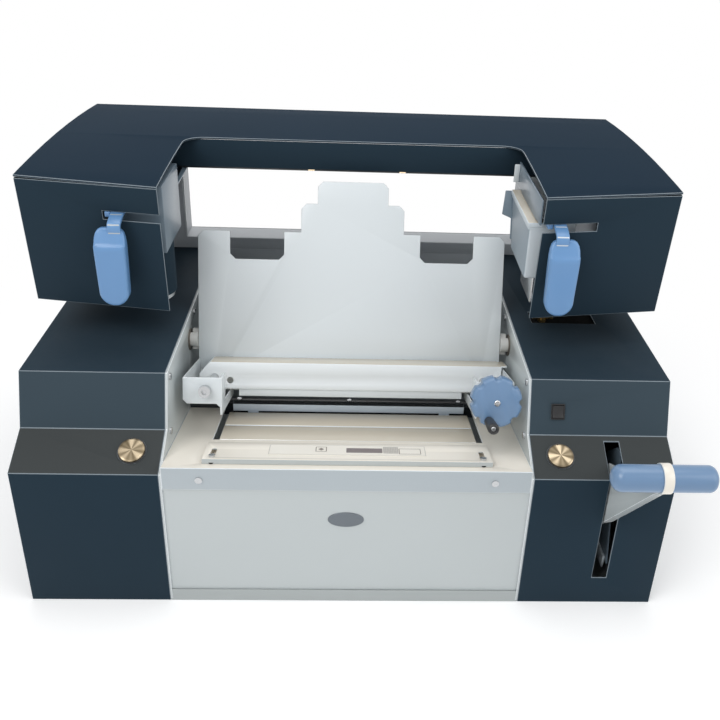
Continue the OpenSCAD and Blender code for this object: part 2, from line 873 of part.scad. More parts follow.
module mill_housing() {
    x0 = -gap_x - mill_w;
    color(pale) from_front() difference() {
        box([x0, mill_front, arm_z - 60], [-gap_x, pivot_y + 29, hood_z]);
        box([x0 + 2, mill_front + 2, arm_z - 61], [-gap_x - 2, pivot_y + 27, hood_z - 2]);
        // slots of the arm plate and the handle bracket
        box([x0 + 1, pivot_y + 20, arm_z], [-gap_x - 1, pivot_y + 35, arm_z + arm_t]);
        box([neck1_x - 9, mill_front - 5, arm_z - 1],
            [neck1_x + 9, mill_front + 5, arm_z + arm_t + 1]);
    }
}

module mill_motor() {
    color(steel) from_front() translate([mill_x, mill_y, arm_z]) difference() {
        translate([0, 0, cut_z + 29 - arm_z]) cylinder(r = 26, h = arm_z - cut_z - 29);
        translate([0, 0, cut_z + 20 - arm_z]) cylinder(r = 6 + fit, h = 30);
    }
}

module mill_guard() {
    color(slate) from_front() difference() {
        union() {
            translate([mill_x, mill_y, cut_z + 7])
                cylinder(r = cutter_r + 3, h = arm_z - 58 - cut_z - 7);
            box([mill_x - mill_w / 2 + 2, mill_front + 2, arm_z - 60],
                [mill_x + mill_w / 2 - 2, pivot_y + 27, arm_z - 58]);
        }
        translate([mill_x, mill_y, cut_z]) cylinder(r = cutter_r + 1, h = arm_z - cut_z);
    }
}

module cutter() {
    color(steel) from_front() translate([mill_x, mill_y, cut_z]) difference() {
        union() {
            cylinder(r = cutter_r, h = 8);
            translate([0, 0, 8]) cylinder(r = 13, h = 14);
            translate([0, 0, 22]) cylinder(r = 6, h = 24);
        }
        for (a = [0:45:315]) rotate([0, 0, a])
            translate([cutter_r - 3, -2, -2]) cube([6, 4, 4]);
    }
}

// Side outline of a handle: its top slopes back to the bracket.
module paddle_side() {
    t = handle_t;
    polygon([[0, -handle_l], [t, -handle_l], [t, -3], [t - 3, 0], [t - 8, 0], [0, -28]]);
}

// Front outline of a handle, with its top at z = 0.
module paddle_front() {
    w = handle_w / 2;
    polygon([
        [-w + 9, 0], [w - 9, 0], [w - 3, -5], [w, -14], [w, -handle_l + 20],
        [w - 4, -handle_l + 9], [w - 12, -handle_l], [-w + 12, -handle_l],
        [-w + 4, -handle_l + 9], [-w, -handle_l + 20], [-w, -14], [-w + 3, -5]
    ]);
}

// A handle whose front face is at depth y, with its top at z.
module paddle(x, y, z) {
    translate([x, y, z]) intersection() {
        along_x(-handle_w, handle_w) paddle_side();
        translate([0, handle_t + 5, 0]) rotate([90, 0, 0])
            linear_extrude(handle_t + 10) paddle_front();
    }
}

module left_handle() {
    color(sky) from_front() difference() {
        paddle(handle1_x, bracket_y(neck1_x) - 9, arm_z - 10.6);
        handle_bracket(neck1_x, 16);
    }
}

// ---- Glue carriage, parked in the right tower ----

module glue_carriage() {
    x = tank_x + tank_w;
    color(pale) from_front() {
        carriage(gap_x, x + 30, tower_y + 39);
        handle_bracket(neck2_x, 16);
        // side plate over the tank's lid
        difference() {
            box([gap_x - 2.5, tower_y + 13, arm_z - 2], [gap_x, rail1_y - 70, hood_z]);
            box([gap_x - 4, tower_y + 10, arm_z - 10], [gap_x + 1, tower_y + 40, arm_z - 0.1]);
            // clearance of the back plate's top
            box([gap_x - 4, pivot_y + 50, arm_z - 10], [gap_x + 1, rail1_y, arm_z - 0.1]);
        }
        // hanger of the tank
        box([x, tower_y + 53, roller_z + 50], [x + 3, pivot_y + 45, arm_z + 1]);
    }
}

// Leaning back face of the tank, g in front of the back plate, at height z.
function lean_y(z, g) = pivot_y + (z - pivot_z) * tan(lean) - g / cos(lean);

module glue_tank() {
    x1 = tank_x + tank_w;
    y0 = tower_y + 33;
    z0 = roller_z + 41.8;
    z1 = arm_z - 13.6;
    color(pale) from_front() difference() {
        union() {
            along_x(tank_x, x1)
                polygon([[y0, z0], [y0, z1], [lean_y(z1, 7.6), z1], [lean_y(z0, 7.6), z0]]);
            box([roller_x - 24, mill_y - 35, roller_z - 7.2], [x1, mill_y + 43, z0 + 0.5]);
        }
        along_x(tank_x + 2, x1 - 2) polygon([
            [y0 + 2, z0 + 2], [y0 + 2, z1 + 1], [lean_y(z1 + 1, 10.6), z1 + 1],
            [lean_y(z0 + 2, 10.6), z0 + 2]
        ]);
        box([roller_x - 22, mill_y - 32.5, roller_z - 10], [x1 - 2, mill_y + 40.6, z0 + 4]);
        translate([roller_x, mill_y - 40, roller_z]) rotate([-90, 0, 0])
            cylinder(r = 5 + fit, h = 90);
    }
}

module tank_lid() {
    x1 = tank_x + tank_w;
    y0 = tower_y + 33;
    z1 = arm_z - 13.6;
    color(steel) from_front() {
        along_x(tank_x - 2.5, x1 - 1) polygon([
            [y0 - 2, z1], [y0 - 2, z1 + 10.6], [lean_y(z1 + 10.6, 7.6), z1 + 10.6],
            [lean_y(z1, 7.6), z1]
        ]);
        box([tank_x + 2.4, y0 + 2.4, z1 - 5], [x1 - 2.4, pivot_y + 43, z1 + 1]);
    }
}

// Guard behind the tank, parallel to the back plate.
module splash_guard() {
    x = tank_x;
    color(slate) clamp_frame() translate([0, -4.6, 0]) rotate([90, 0, 0]) linear_extrude(3)
        polygon([
            [x - 11, plate_top - 6], [x + 18, plate_top - 6], [x + 18, plate_top - 80],
            [x - 1, plate_top - 80], [x - 1, plate_top - 48], [x - 15, plate_top - 42]
        ]);
}

module right_handle() {
    color(sky) from_front() difference() {
        paddle(handle2_x, bracket_y(neck2_x) - 9, arm_z - 10.6);
        handle_bracket(neck2_x, 16);
    }
}

module glue_roller() {
    color(steel) from_front() translate([roller_x, mill_y, roller_z]) rotate([-90, 0, 0]) {
        translate([0, 0, -31.5]) cylinder(r = roller_r, h = 71);
        translate([0, 0, -36]) cylinder(r = 5, h = 79.5);
    }
}

// ---- Lever, lifting table and nip bar ----

// Lower edge of the lever's arm, from the grip towards the shaft at [0, 0].
function lever_edge(t) = [
    [-lever_reach - 10 + t, lever_rise - 13 + t], [-lever_reach + 7 + t, lever_rise - 29 + t],
    [-130 + 0.75 * t, 82 + 0.65 * t], [-68 + 0.65 * t, 23 + 0.75 * t],
    [-18 + 0.4 * t, -20 + 0.9 * t]
];

// Outline of the lever's arm.
module lever_outline() {
    polygon(concat(lever_edge(0), [
        [3, -24], [22, -8], [22, 8], [10, 22], [-70, 120], [-105, 164], [-150, 188],
        [-lever_reach + 12, lever_rise + 10], [-lever_reach, lever_rise + 13],
        [-lever_reach - 11, lever_rise + 3]
    ]));
}

// The arm's plate, in place.
module lever_plate() {
    x = lever_x - lever_w / 2 - 2;
    translate([0, lever_y, lever_z]) along_x(x, x + lever_t) lever_outline();
}

module lever_arm() {
    x = lever_x - lever_w / 2 - 2;
    y = lever_y - lever_reach;
    z = lever_z + lever_rise;
    color(pale) from_front() {
        lever_plate();
        difference() {
            union() {
                // folded lower edge
                translate([0, lever_y, lever_z]) along_x(x, x + lever_w)
                    polygon(concat(lever_edge(0), [for (i = [4:-1:0]) lever_edge(2.6)[i]]));
                // ring round the grip
                rod_x(x, x + lever_w, y, z, grip_r + 1.8);
            }
            rod_x(x - eps, x + lever_w + eps, y, z, grip_r);
        }
        // hub
        rod_x(lever_x - 12, lever_x + 8, lever_y, lever_z, shaft_r + 11);
    }
}

// Radius and place of the lifting discs under the table's posts.
disc_r = 22;

module lever_shaft() {
    color(steel) from_front() {
        rod_x(-wall_x - 11, lever_x - 12, lever_y, lever_z, shaft_r);
        for (x = [-120, 120])
            rod_x(x - 8, x + 8, lever_y + lift_e * cos(20), lever_z - lift_e * sin(20), disc_r);
    }
}

module lever_grip() {
    color(sky) from_front() difference() {
        rod_x(lever_x - grip_l / 2 - 3, lever_x + grip_l / 2 - 3,
            lever_y - lever_reach, lever_z + lever_rise, grip_r);
        lever_plate();
    }
}

module press_table() {
    back = nip_y - 18;
    color(cream) from_front() {
        difference() {
            along_x(-press_x, press_x) polygon([
                [96, bed_z(96)], [back, bed_z(back)], [back, bed_z(back) - 8], [96, bed_z(96) - 8]
            ]);
            // step between the two strips
            along_x(-press_x - eps, press_x + eps) polygon([
                [147, bed_z(147) + 2], [150, bed_z(150) + 2], [150, bed_z(150) - 1.5],
                [147, bed_z(147) - 1.5]
            ]);
        }
        for (x = [-120, 120]) difference() {
            translate([x, lever_y + 6, lever_z + disc_r - lift_e * sin(20) + 0.5])
                cylinder(r = 10, h = 140);
            along_x(x - 12, x + 12) polygon([
                [110, bed_z(110) - 4], [160, bed_z(160) - 4], [160, bed_z(160) + 90],
                [110, bed_z(110) + 90]
            ]);
        }
    }
}

module nip_bar() {
    y = nip_y;
    z = nip_z();
    color(pale) from_front() {
        along_x(-press_x + 5, press_x - 5) polygon([
            [y - 13, z - 7], [y - 6, z - 7], [y - 6, z + 0.6], [y - 1, z + 0.6],
            [y - 1, z + 6], [y - 13, z + 6]
        ]);
        for (x = [-150, 150]) {
            box([x - 8, y - 13, z - 20], [x + 8, y - 6, z - 7]);
            translate([x, y - 6, z - 14]) rotate([-90, 0, 0]) cylinder(r = 4, h = 30);
        }
    }
}

// ---- Controls ----

module push_button() {
    translate([0, 0, -7]) cylinder(r = button_r, h = 11);
}

module left_button() {
    color(steel) button_frame(-1) push_button();
}

module right_button() {
    color(steel) button_frame(1) push_button();
}

module rocker() {
    h = rocker_h / 2;
    color(black) rocker_frame() along_x(-rocker_w / 2, rocker_w / 2) polygon([
        [-h + 1, -6], [-h + 0.3, 3.4], [0, 1.8], [h - 0.3, 3.4], [h - 1, -6]
    ]);
}

module ruler_bar() {
    y0 = 13.3;
    y1 = y0 + ruler_d;
    color(cream) table_frame() difference() {
        box([-ruler_x, y0, fit], [ruler_x, y1, ruler_h]);
        box([-ruler_x - eps, y0 + 2.5, -1], [ruler_x + eps, y1 - 2.5, ruler_h - 2.5]);
        for (x = [-ruler_x + 12.5, ruler_x - 12.5]) {
            // guide slot
            box([x - 3.4, 18, 0], [x + 3.4, 49, ruler_h + 1]);
            translate([x, y0 - 1, 4]) rotate([-90, 0, 0]) cylinder(r = 1.8, h = 5);
        }
    }
}

module ruler_label() {
    color(pale) table_frame()
        box([-110, 29.7, ruler_h], [107, 63.4, ruler_h + 0.6]);
}

base_pan();
left_casing();
right_casing();
left_wall();
right_wall();
front_panel();
badge_plate();
table_bed();
rear_panel();
rear_frame();
window_lining();
arch_top();
left_tower();
right_tower();
arch_back();
beam_face();
beam_trim();
carriage_rails();
pivot_bushes();
guide_beam();
anvil_strip();
lever_bearings();
control_bezels();
power_inlet();
cable_gland();
screws();
back_plate();
pivot_pins();
left_bracket();
right_bracket();
tie_bar();
sync_belt();
belt_cover();
jaw_bar();
right_screw();
star_knob();
left_screw();
crank_grip();
mill_carriage();
mill_housing();
mill_motor();
mill_guard();
left_handle();
cutter();
glue_carriage();
glue_tank();
tank_lid();
splash_guard();
right_handle();
glue_roller();
lever_arm();
lever_shaft();
lever_grip();
press_table();
nip_bar();
left_button();
right_button();
rocker();
ruler_bar();
ruler_label();
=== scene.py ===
# %% [markdown]
# # Bench perfect binding machine
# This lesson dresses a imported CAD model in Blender. The CAD bodies stay where
# they are: each piece here rides on one of them, so the joints keep working.

# %% Load the frame
import json
import math

import bmesh
import bpy
from mathutils import Matrix, Vector


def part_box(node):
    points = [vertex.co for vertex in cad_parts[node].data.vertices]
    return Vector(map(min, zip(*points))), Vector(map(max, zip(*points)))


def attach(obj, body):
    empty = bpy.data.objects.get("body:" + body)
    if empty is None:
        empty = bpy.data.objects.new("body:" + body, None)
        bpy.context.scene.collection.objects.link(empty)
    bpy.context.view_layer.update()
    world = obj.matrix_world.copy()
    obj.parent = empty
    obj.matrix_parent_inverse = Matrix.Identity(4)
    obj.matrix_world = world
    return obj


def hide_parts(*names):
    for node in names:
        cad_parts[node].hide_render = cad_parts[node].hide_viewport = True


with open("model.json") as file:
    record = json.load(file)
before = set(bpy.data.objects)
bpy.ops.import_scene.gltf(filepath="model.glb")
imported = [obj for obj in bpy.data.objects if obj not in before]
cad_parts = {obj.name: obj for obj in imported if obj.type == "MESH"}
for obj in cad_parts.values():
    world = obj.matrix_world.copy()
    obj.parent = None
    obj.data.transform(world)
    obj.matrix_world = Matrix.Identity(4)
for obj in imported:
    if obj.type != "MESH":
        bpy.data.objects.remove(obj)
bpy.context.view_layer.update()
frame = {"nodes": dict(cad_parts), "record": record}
MM = 0.001
BASE_DEPTH = 590.0  # the CAD frame's origin is under the middle of the base
LEAN_DEGREES = 18  # how far the clamp leans back at rest
PIVOT_Y, PIVOT_Z = 255, 292  # the clamp's axle
GRIP_Y, GRIP_Z = -140, 335  # the axis of the lever's grip
TABLE_DROP = 0.21  # fall of the table per millimetre of depth


def at(x, y, z):
    """A point in metres from millimetres, with y measured from the front face."""
    return Vector((x * MM, (y - BASE_DEPTH / 2) * MM, z * MM))


# %% [markdown]
# ## Camera
# The photograph was taken from above eye level with a normal lens. The values
# come from fitting one camera to the machine's straight edges. The shift is the
# small crop of the picture, not a tilt.

# %% Camera
YAW, PITCH, ROLL = 0.051, -0.474, 0.043
FOCAL_PIXELS = 857.18
PICTURE = 720.0
forward = Vector(
    (
        math.sin(YAW) * math.cos(PITCH),
        math.cos(YAW) * math.cos(PITCH),
        math.sin(PITCH),
    )
)
level = Vector((math.cos(YAW), -math.sin(YAW), 0))
upward = level.cross(forward)
right = math.cos(ROLL) * level + math.sin(ROLL) * upward
up = -math.sin(ROLL) * level + math.cos(ROLL) * upward
camera_data = bpy.data.cameras.new("camera")
camera_data.sensor_width = 36
camera_data.lens = FOCAL_PIXELS / PICTURE * 36
camera_data.shift_x = (PICTURE / 2 - 387.71) / PICTURE
camera_data.shift_y = (321.6 - PICTURE / 2) / PICTURE
camera_data.clip_end = 50
camera = bpy.data.objects.new("camera", camera_data)
camera.matrix_world = Matrix.Translation(at(-3.3, -929.8, 938.1)) @ Matrix(
    (right, up, -forward)
).transposed().to_4x4()
bpy.context.collection.objects.link(camera)
bpy.context.scene.camera = camera
bpy.context.scene.view_settings.view_transform = "Standard"
print("lens", round(camera_data.lens, 2), "mm")

# %% [markdown]
# ## Studio
# The machine stands on a pale floor in soft light. The world looks white to the
# camera and in reflections, but lights the machine at a plain, lower level.


# %% Node helpers
def link(tree, source, target):
    """Joins an output socket to an input socket."""
    tree.links.new(source, target)


def add(tree, kind, **values):
    """Adds a node and sets its properties, or its inputs by name."""
    node = tree.nodes.new(kind)
    for name, value in values.items():
        if hasattr(node, name):
            setattr(node, name, value)
        else:
            node.inputs[name.replace("_", " ")].default_value = value
    return node


def seen_directly(tree):
    """1 for camera, mirror and glass rays, 0 for the light that falls on things."""
    path = add(tree, "ShaderNodeLightPath")
    first = add(tree, "ShaderNodeMath", operation="MAXIMUM")
    both = add(tree, "ShaderNodeMath", operation="MAXIMUM")
    link(tree, path.outputs["Is Camera Ray"], first.inputs[0])
    link(tree, path.outputs["Is Glossy Ray"], first.inputs[1])
    link(tree, first.outputs[0], both.inputs[0])
    link(tree, path.outputs["Is Transmission Ray"], both.inputs[1])
    return both.outputs[0]


# %% World, floor and lamps
SKY_LIGHT = 0.42
world = bpy.data.worlds.new("studio")
bpy.context.scene.world = world
world.use_nodes = True
tree = world.node_tree
tree.nodes.clear()
white = add(tree, "ShaderNodeBackground", Strength=1.0)
soft = add(tree, "ShaderNodeBackground", Strength=SKY_LIGHT)
white.inputs["Color"].default_value = (1, 1, 1, 1)
soft.inputs["Color"].default_value = (0.96, 0.98, 1, 1)
mix = add(tree, "ShaderNodeMixShader")
out = add(tree, "ShaderNodeOutputWorld")
link(tree, seen_directly(tree), mix.inputs[0])
link(tree, soft.outputs[0], mix.inputs[1])
link(tree, white.outputs[0], mix.inputs[2])
link(tree, mix.outputs[0], out.inputs["Surface"])

bm = bmesh.new()
bmesh.ops.create_grid(bm, x_segments=1, y_segments=1, size=6)
bmesh.ops.translate(bm, verts=bm.verts, vec=(0, 0, -0.0004))
mesh = bpy.data.meshes.new("floor")
bm.to_mesh(mesh)
bm.free()
floor = bpy.data.objects.new("floor", mesh)
bpy.context.collection.objects.link(floor)
floor_paint = bpy.data.materials.new("floor_paint")
floor_paint.use_nodes = True
shader = floor_paint.node_tree.nodes["Principled BSDF"]
shader.inputs["Base Color"].default_value = (0.93, 0.93, 0.93, 1)
shader.inputs["Roughness"].default_value = 0.9
shader.inputs["Specular IOR Level"].default_value = 0.0
shader.inputs["Emission Color"].default_value = (1, 1, 1, 1)
shader.inputs["Emission Strength"].default_value = 0.22
tree = floor_paint.node_tree
spot = add(tree, "ShaderNodeTexCoord")
reach = add(tree, "ShaderNodeVectorMath", operation="LENGTH")
link(tree, spot.outputs["Object"], reach.inputs[0])
far = add(tree, "ShaderNodeMapRange", interpolation_type="SMOOTHSTEP")
far.inputs["From Min"].default_value = 0.55
far.inputs["From Max"].default_value = 1.15
link(tree, reach.outputs["Value"], far.inputs["Value"])
only_seen = add(tree, "ShaderNodeMath", operation="MULTIPLY")
link(tree, far.outputs[0], only_seen.inputs[0])
link(tree, seen_directly(tree), only_seen.inputs[1])
glow = add(tree, "ShaderNodeEmission", Strength=1.0)
floor_mix = add(tree, "ShaderNodeMixShader")
link(tree, only_seen.outputs[0], floor_mix.inputs[0])
link(tree, shader.outputs[0], floor_mix.inputs[1])
link(tree, glow.outputs[0], floor_mix.inputs[2])
link(tree, floor_mix.outputs[0], tree.nodes["Material Output"].inputs["Surface"])
mesh.materials.append(floor_paint)


def lamp(name, place, target, size, watts, colour=(1, 1, 1)):
    """A square soft box at a place, turned towards a target."""
    data = bpy.data.lights.new(name, "AREA")
    data.size, data.energy, data.color = size, watts, colour
    obj = bpy.data.objects.new(name, data)
    obj.location = Vector(place)
    aim = Vector(target) - Vector(place)
    obj.rotation_euler = aim.to_track_quat("-Z", "Y").to_euler()
    bpy.context.collection.objects.link(obj)


MIDDLE = (0, 0, 0.3)
lamp("key", (-1.6, -1.8, 2.6), MIDDLE, 1.8, 38)
lamp("fill", (2.2, -1.4, 1.8), MIDDLE, 2.0, 20)
lamp("top", (0.2, 0.1, 2.9), MIDDLE, 2.2, 26)
lamp("back", (-0.6, 2.6, 1.6), MIDDLE, 2.0, 12)

# %% [markdown]
# ## Surface effects
# Paint, plastic and metal share two small effects: a fine grain with a slow colour
# drift, and dust that settles on what faces up. Each is one node group with named
# inputs, so a material only picks its values.


# %% Group helper
def group(name, inputs, outputs):
    """An empty node group with float inputs {name: value} and outputs {name: kind}."""
    tree = bpy.data.node_groups.new(name, "ShaderNodeTree")
    for title, value in inputs.items():
        colour = isinstance(value, tuple)
        kind = "NodeSocketColor" if colour else "NodeSocketFloat"
        socket = tree.interface.new_socket(title, in_out="INPUT", socket_type=kind)
        socket.default_value = value
    for title, kind in outputs.items():
        tree.interface.new_socket(title, in_out="OUTPUT", socket_type=kind)
    return tree, add(tree, "NodeGroupInput"), add(tree, "NodeGroupOutput")


def place(tree):
    """Object coordinates, which are the CAD frame's own metres."""
    return add(tree, "ShaderNodeTexCoord").outputs["Object"]


# %% Grain: powder coat, moulded plastic, cast skin
grain, gin, gout = group(
    "grain",
    {"Scale": 900.0, "Depth": 0.2, "Drift": 0.05, "Colour": (0.5, 0.5, 0.5, 1)},
    {"Colour": "NodeSocketColor", "Normal": "NodeSocketVector", "Mask": "NodeSocketFloat"},
)
fine = add(grain, "ShaderNodeTexNoise", Detail=3.0, Roughness=0.6)
slow = add(grain, "ShaderNodeTexNoise", Scale=7.0, Detail=2.0)
bump = add(grain, "ShaderNodeBump", Distance=0.00012)
link(grain, place(grain), fine.inputs["Vector"])
link(grain, place(grain), slow.inputs["Vector"])
link(grain, gin.outputs["Scale"], fine.inputs["Scale"])
link(grain, gin.outputs["Depth"], bump.inputs["Strength"])
link(grain, fine.outputs["Fac"], bump.inputs["Height"])
centred = add(grain, "ShaderNodeMath", operation="SUBTRACT")
centred.inputs[1].default_value = 0.5
scaled = add(grain, "ShaderNodeMath", operation="MULTIPLY")
link(grain, slow.outputs["Fac"], centred.inputs[0])
link(grain, centred.outputs[0], scaled.inputs[0])
link(grain, gin.outputs["Drift"], scaled.inputs[1])
lift = add(grain, "ShaderNodeMath", operation="ADD")
lift.inputs[1].default_value = 1.0
link(grain, scaled.outputs[0], lift.inputs[0])
tint = add(grain, "ShaderNodeVectorMath", operation="SCALE")
link(grain, gin.outputs["Colour"], tint.inputs[0])
link(grain, lift.outputs[0], tint.inputs["Scale"])
link(grain, tint.outputs[0], gout.inputs["Colour"])
link(grain, bump.outputs[0], gout.inputs["Normal"])
link(grain, fine.outputs["Fac"], gout.inputs["Mask"])

# %% Dust: a thin pale film on what faces up
dust, gin, gout = group(
    "dust",
    {"Amount": 0.1, "Colour": (0.5, 0.5, 0.5, 1), "Film": (0.55, 0.54, 0.5, 1)},
    {"Colour": "NodeSocketColor"},
)
facing = add(dust, "ShaderNodeNewGeometry")
split = add(dust, "ShaderNodeSeparateXYZ")
link(dust, facing.outputs["Normal"], split.inputs[0])
patchy = add(dust, "ShaderNodeTexNoise", Scale=38.0, Detail=6.0, Roughness=0.7)
link(dust, place(dust), patchy.inputs["Vector"])
ramp = add(dust, "ShaderNodeMapRange")
ramp.inputs["From Min"].default_value = 0.35
ramp.inputs["From Max"].default_value = 1.0
link(dust, split.outputs["Z"], ramp.inputs["Value"])
level_dust = add(dust, "ShaderNodeMath", operation="MULTIPLY")
link(dust, ramp.outputs[0], level_dust.inputs[0])
link(dust, patchy.outputs["Fac"], level_dust.inputs[1])
amount = add(dust, "ShaderNodeMath", operation="MULTIPLY")
link(dust, level_dust.outputs[0], amount.inputs[0])
link(dust, gin.outputs["Amount"], amount.inputs[1])
film = add(dust, "ShaderNodeMix", data_type="RGBA")
link(dust, amount.outputs[0], film.inputs[0])
link(dust, gin.outputs["Colour"], film.inputs[6])
link(dust, gin.outputs["Film"], film.inputs[7])
link(dust, film.outputs[2], gout.inputs["Colour"])


# %% [markdown]
# ## Materials
# The machine has a dark blue-grey powder coat, light grey gloss enamel, warm grey
# enamel on the table, light blue plastic grips, ground steel and black plastic.


# %% Material builder
def material(name, colour, roughness, scale=900.0, depth=0.2, drift=0.05,
             dusty=0.0, metallic=0.0, coat=0.0, spread=0.06, specular=0.5):
    """A Principled material with grain, slow colour drift and an optional dust film."""
    mat = bpy.data.materials.new(name)
    mat.use_nodes = True
    mat.diffuse_color = (*colour, 1)
    tree = mat.node_tree
    shader = tree.nodes["Principled BSDF"]
    shader.inputs["Metallic"].default_value = metallic
    shader.inputs["Coat Weight"].default_value = coat
    shader.inputs["Coat Roughness"].default_value = 0.12
    shader.inputs["Specular IOR Level"].default_value = specular
    skin = add(tree, "ShaderNodeGroup", node_tree=grain)
    skin.inputs["Scale"].default_value = scale
    skin.inputs["Depth"].default_value = depth
    skin.inputs["Drift"].default_value = drift
    skin.inputs["Colour"].default_value = (*colour, 1)
    film = add(tree, "ShaderNodeGroup", node_tree=dust)
    film.inputs["Amount"].default_value = dusty
    link(tree, skin.outputs["Colour"], film.inputs["Colour"])
    link(tree, film.outputs["Colour"], shader.inputs["Base Color"])
    link(tree, skin.outputs["Normal"], shader.inputs["Normal"])
    rough = add(tree, "ShaderNodeMapRange")
    rough.inputs["To Min"].default_value = roughness - spread
    rough.inputs["To Max"].default_value = roughness + spread
    link(tree, skin.outputs["Mask"], rough.inputs["Value"])
    link(tree, rough.outputs[0], shader.inputs["Roughness"])
    return mat


# %% Powder coat: the top, the two front slopes and the rounded edges differ a little, as painted light: a darker top is painted shade, lighter slopes painted reflection, lighter edges painted highlight
slate = material("slate_powder_coat", (0.0185, 0.035, 0.051), 0.62, 1400, 0.3, 0.12, 0.02,
                 specular=0.06)
# A darker, duller copy of the coat for the arch top: painted shade.
slate_top_painted_shade = material("slate_arch_top_painted_shade", (0.0155, 0.029, 0.046), 0.8, 1400, 0.3, 0.12, 0.0,
                     specular=0.03)
# Lighter copies of the coat for the two front slopes: painted reflection.
slate_upper_painted_reflection = material("slate_upper_slope_painted_reflection", (0.042, 0.063, 0.080), 0.55, 1400, 0.3, 0.12, 0.0,
                      specular=0.1)
slate_lower_painted_reflection = material("slate_lower_slope_painted_reflection", (0.048, 0.054, 0.055), 0.55, 1400, 0.3, 0.15, 0.0,
                     specular=0.1)
# A light copy of the coat for rounded edges: painted highlight.
slate_edge_highlight = material("slate_edge_highlight", (0.19, 0.23, 0.26), 0.4, 1400, 0.2, 0.1, specular=0.4)

# %% Enamels
SMOOTH = {"scale": 1500, "depth": 0.03, "spread": 0.02}  # gloss with hardly any grain
pale = material("pale_enamel", (0.51, 0.55, 0.555), 0.26, drift=0.03, dusty=0.02, coat=0.3,
                **SMOOTH)
# pale_edge is a lighter enamel; on rounded edges it is a painted highlight.
pale_edge = material("pale_edge", (0.80, 0.84, 0.86), 0.25, drift=0.02, coat=0.3, **SMOOTH)
bright = material("plate_enamel", (0.69, 0.735, 0.755), 0.3, drift=0.02, **SMOOTH)
cut_edge = material("cut_edge", (0.20, 0.22, 0.23), 0.4, 500, 0.1, 0.1)
cream = material("warm_enamel", (0.86, 0.81, 0.72), 0.24, drift=0.03, dusty=0.02, coat=0.4,
                 **SMOOTH)
fascia = material("fascia_enamel", (0.43, 0.48, 0.51), 0.28, drift=0.03, coat=0.3, **SMOOTH)
beige = material("beige_enamel", (0.58, 0.53, 0.44), 0.26, drift=0.04, dusty=0.02, coat=0.3,
                 **SMOOTH)
# A mid grey for the light grey carriage plates under the arch: painted shade.
carriage_painted_shade_grey = material("carriage_enamel_painted_shade", (0.14, 0.19, 0.235), 0.34, 400, 0.08, 0.06, 0.0,
                         coat=0.2)
lining = material("lining_enamel", (0.50, 0.53, 0.56), 0.4, 1200, 0.05, 0.04, spread=0.02)
pan_grey = material("pan_enamel", (0.40, 0.43, 0.43), 0.35, 400, 0.08, 0.04)
ice = material("nip_enamel", (0.64, 0.73, 0.82), 0.24, 400, 0.05, 0.03, coat=0.3)
strip_black = material("black_enamel", (0.022, 0.027, 0.032), 0.25, 300, 0.08, 0.1, 0.02)
print("paints:", len(bpy.data.materials))

# %% Plastics and metals
blue = material("blue_plastic", (0.135, 0.290, 0.54), 0.32, 700, 0.12, 0.05, coat=0.2)
blue_grey = material("blue_grey_plastic", (0.140, 0.245, 0.405), 0.3, 700, 0.12, 0.05,
                     coat=0.3)
tank_grey = material("tank_plastic", (0.60, 0.66, 0.70), 0.42, 900, 0.16, 0.05, 0.02)
# A darker copy of the tank plastic for its left side: painted shade.
tank_shade = material("tank_side_painted_shade", (0.30, 0.36, 0.41), 0.42, 900, 0.16, 0.05)
bronze = material("oiled_bronze", (0.13, 0.115, 0.095), 0.4, 900, 0.1, 0.1, metallic=0.8)
black = material("black_plastic", (0.014, 0.014, 0.015), 0.4, 1100, 0.3, 0.1, 0.03)
# Near-black for the insides of slots, notches and openings: painted shade.
gap_painted_shade = material("dark_gap_painted_shade", (0.004, 0.004, 0.004), 0.8, 900, 0.1, 0.05, specular=0.05)
rubber = material("black_rubber", (0.02, 0.02, 0.02), 0.75, 1200, 0.4, 0.1, 0.1)
steel = material("ground_steel", (0.56, 0.57, 0.58), 0.26, 800, 0.12, 0.05, metallic=1.0)
satin = material("satin_aluminium", (0.72, 0.73, 0.74), 0.34, 1500, 0.1, 0.03, metallic=1.0)
boss = material("boss_enamel", (0.60, 0.60, 0.58), 0.36, 600, 0.08, 0.04, 0.0)
badge_metal = material("badge_metal", (0.15, 0.17, 0.19), 0.34, 900, 0.15, 0.15, metallic=0.4)
brass = material("turned_brass", (0.58, 0.42, 0.18), 0.28, 900, 0.1, 0.08, metallic=1.0)
label_film = material("label_film", (0.84, 0.80, 0.72), 0.2, 300, 0.02, 0.01, coat=0.5)
label_line = material("label_line", (0.20, 0.17, 0.14), 0.4, 300, 0.02, 0.02)
label_bar = material("label_bar", (0.19, 0.16, 0.16), 0.35, 300, 0.02, 0.02)
label_grey = material("label_grey", (0.42, 0.40, 0.37), 0.4, 300, 0.02, 0.02)
print("materials:", len(bpy.data.materials))

# %% [markdown]
# ## CAD nodes that keep their shape
# Folded sheet never has a knife edge. A copy of each sheet-metal node is merged,
# its flat faces are joined, and its edges are bevelled, so folds catch the light.
# The rounded edges of painted sheet take a lighter paint: a painted highlight where the folds
# catch the light.


# %% Softened copies
def show(bm, name, body, nodes, mat, smooth=35):
    """Makes a bmesh a piece that rides on a body and stands for some CAD nodes."""
    mesh = bpy.data.meshes.new(name)
    bm.to_mesh(mesh)
    bm.free()
    for paint in mat if isinstance(mat, (list, tuple)) else [mat]:
        mesh.materials.append(paint)
    mesh.shade_smooth()
    obj = bpy.data.objects.new(name, mesh)
    bpy.context.collection.objects.link(obj)
    mesh.set_sharp_from_angle(angle=math.radians(smooth))
    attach(obj, body)
    if nodes:
        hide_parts(*nodes)
    return obj


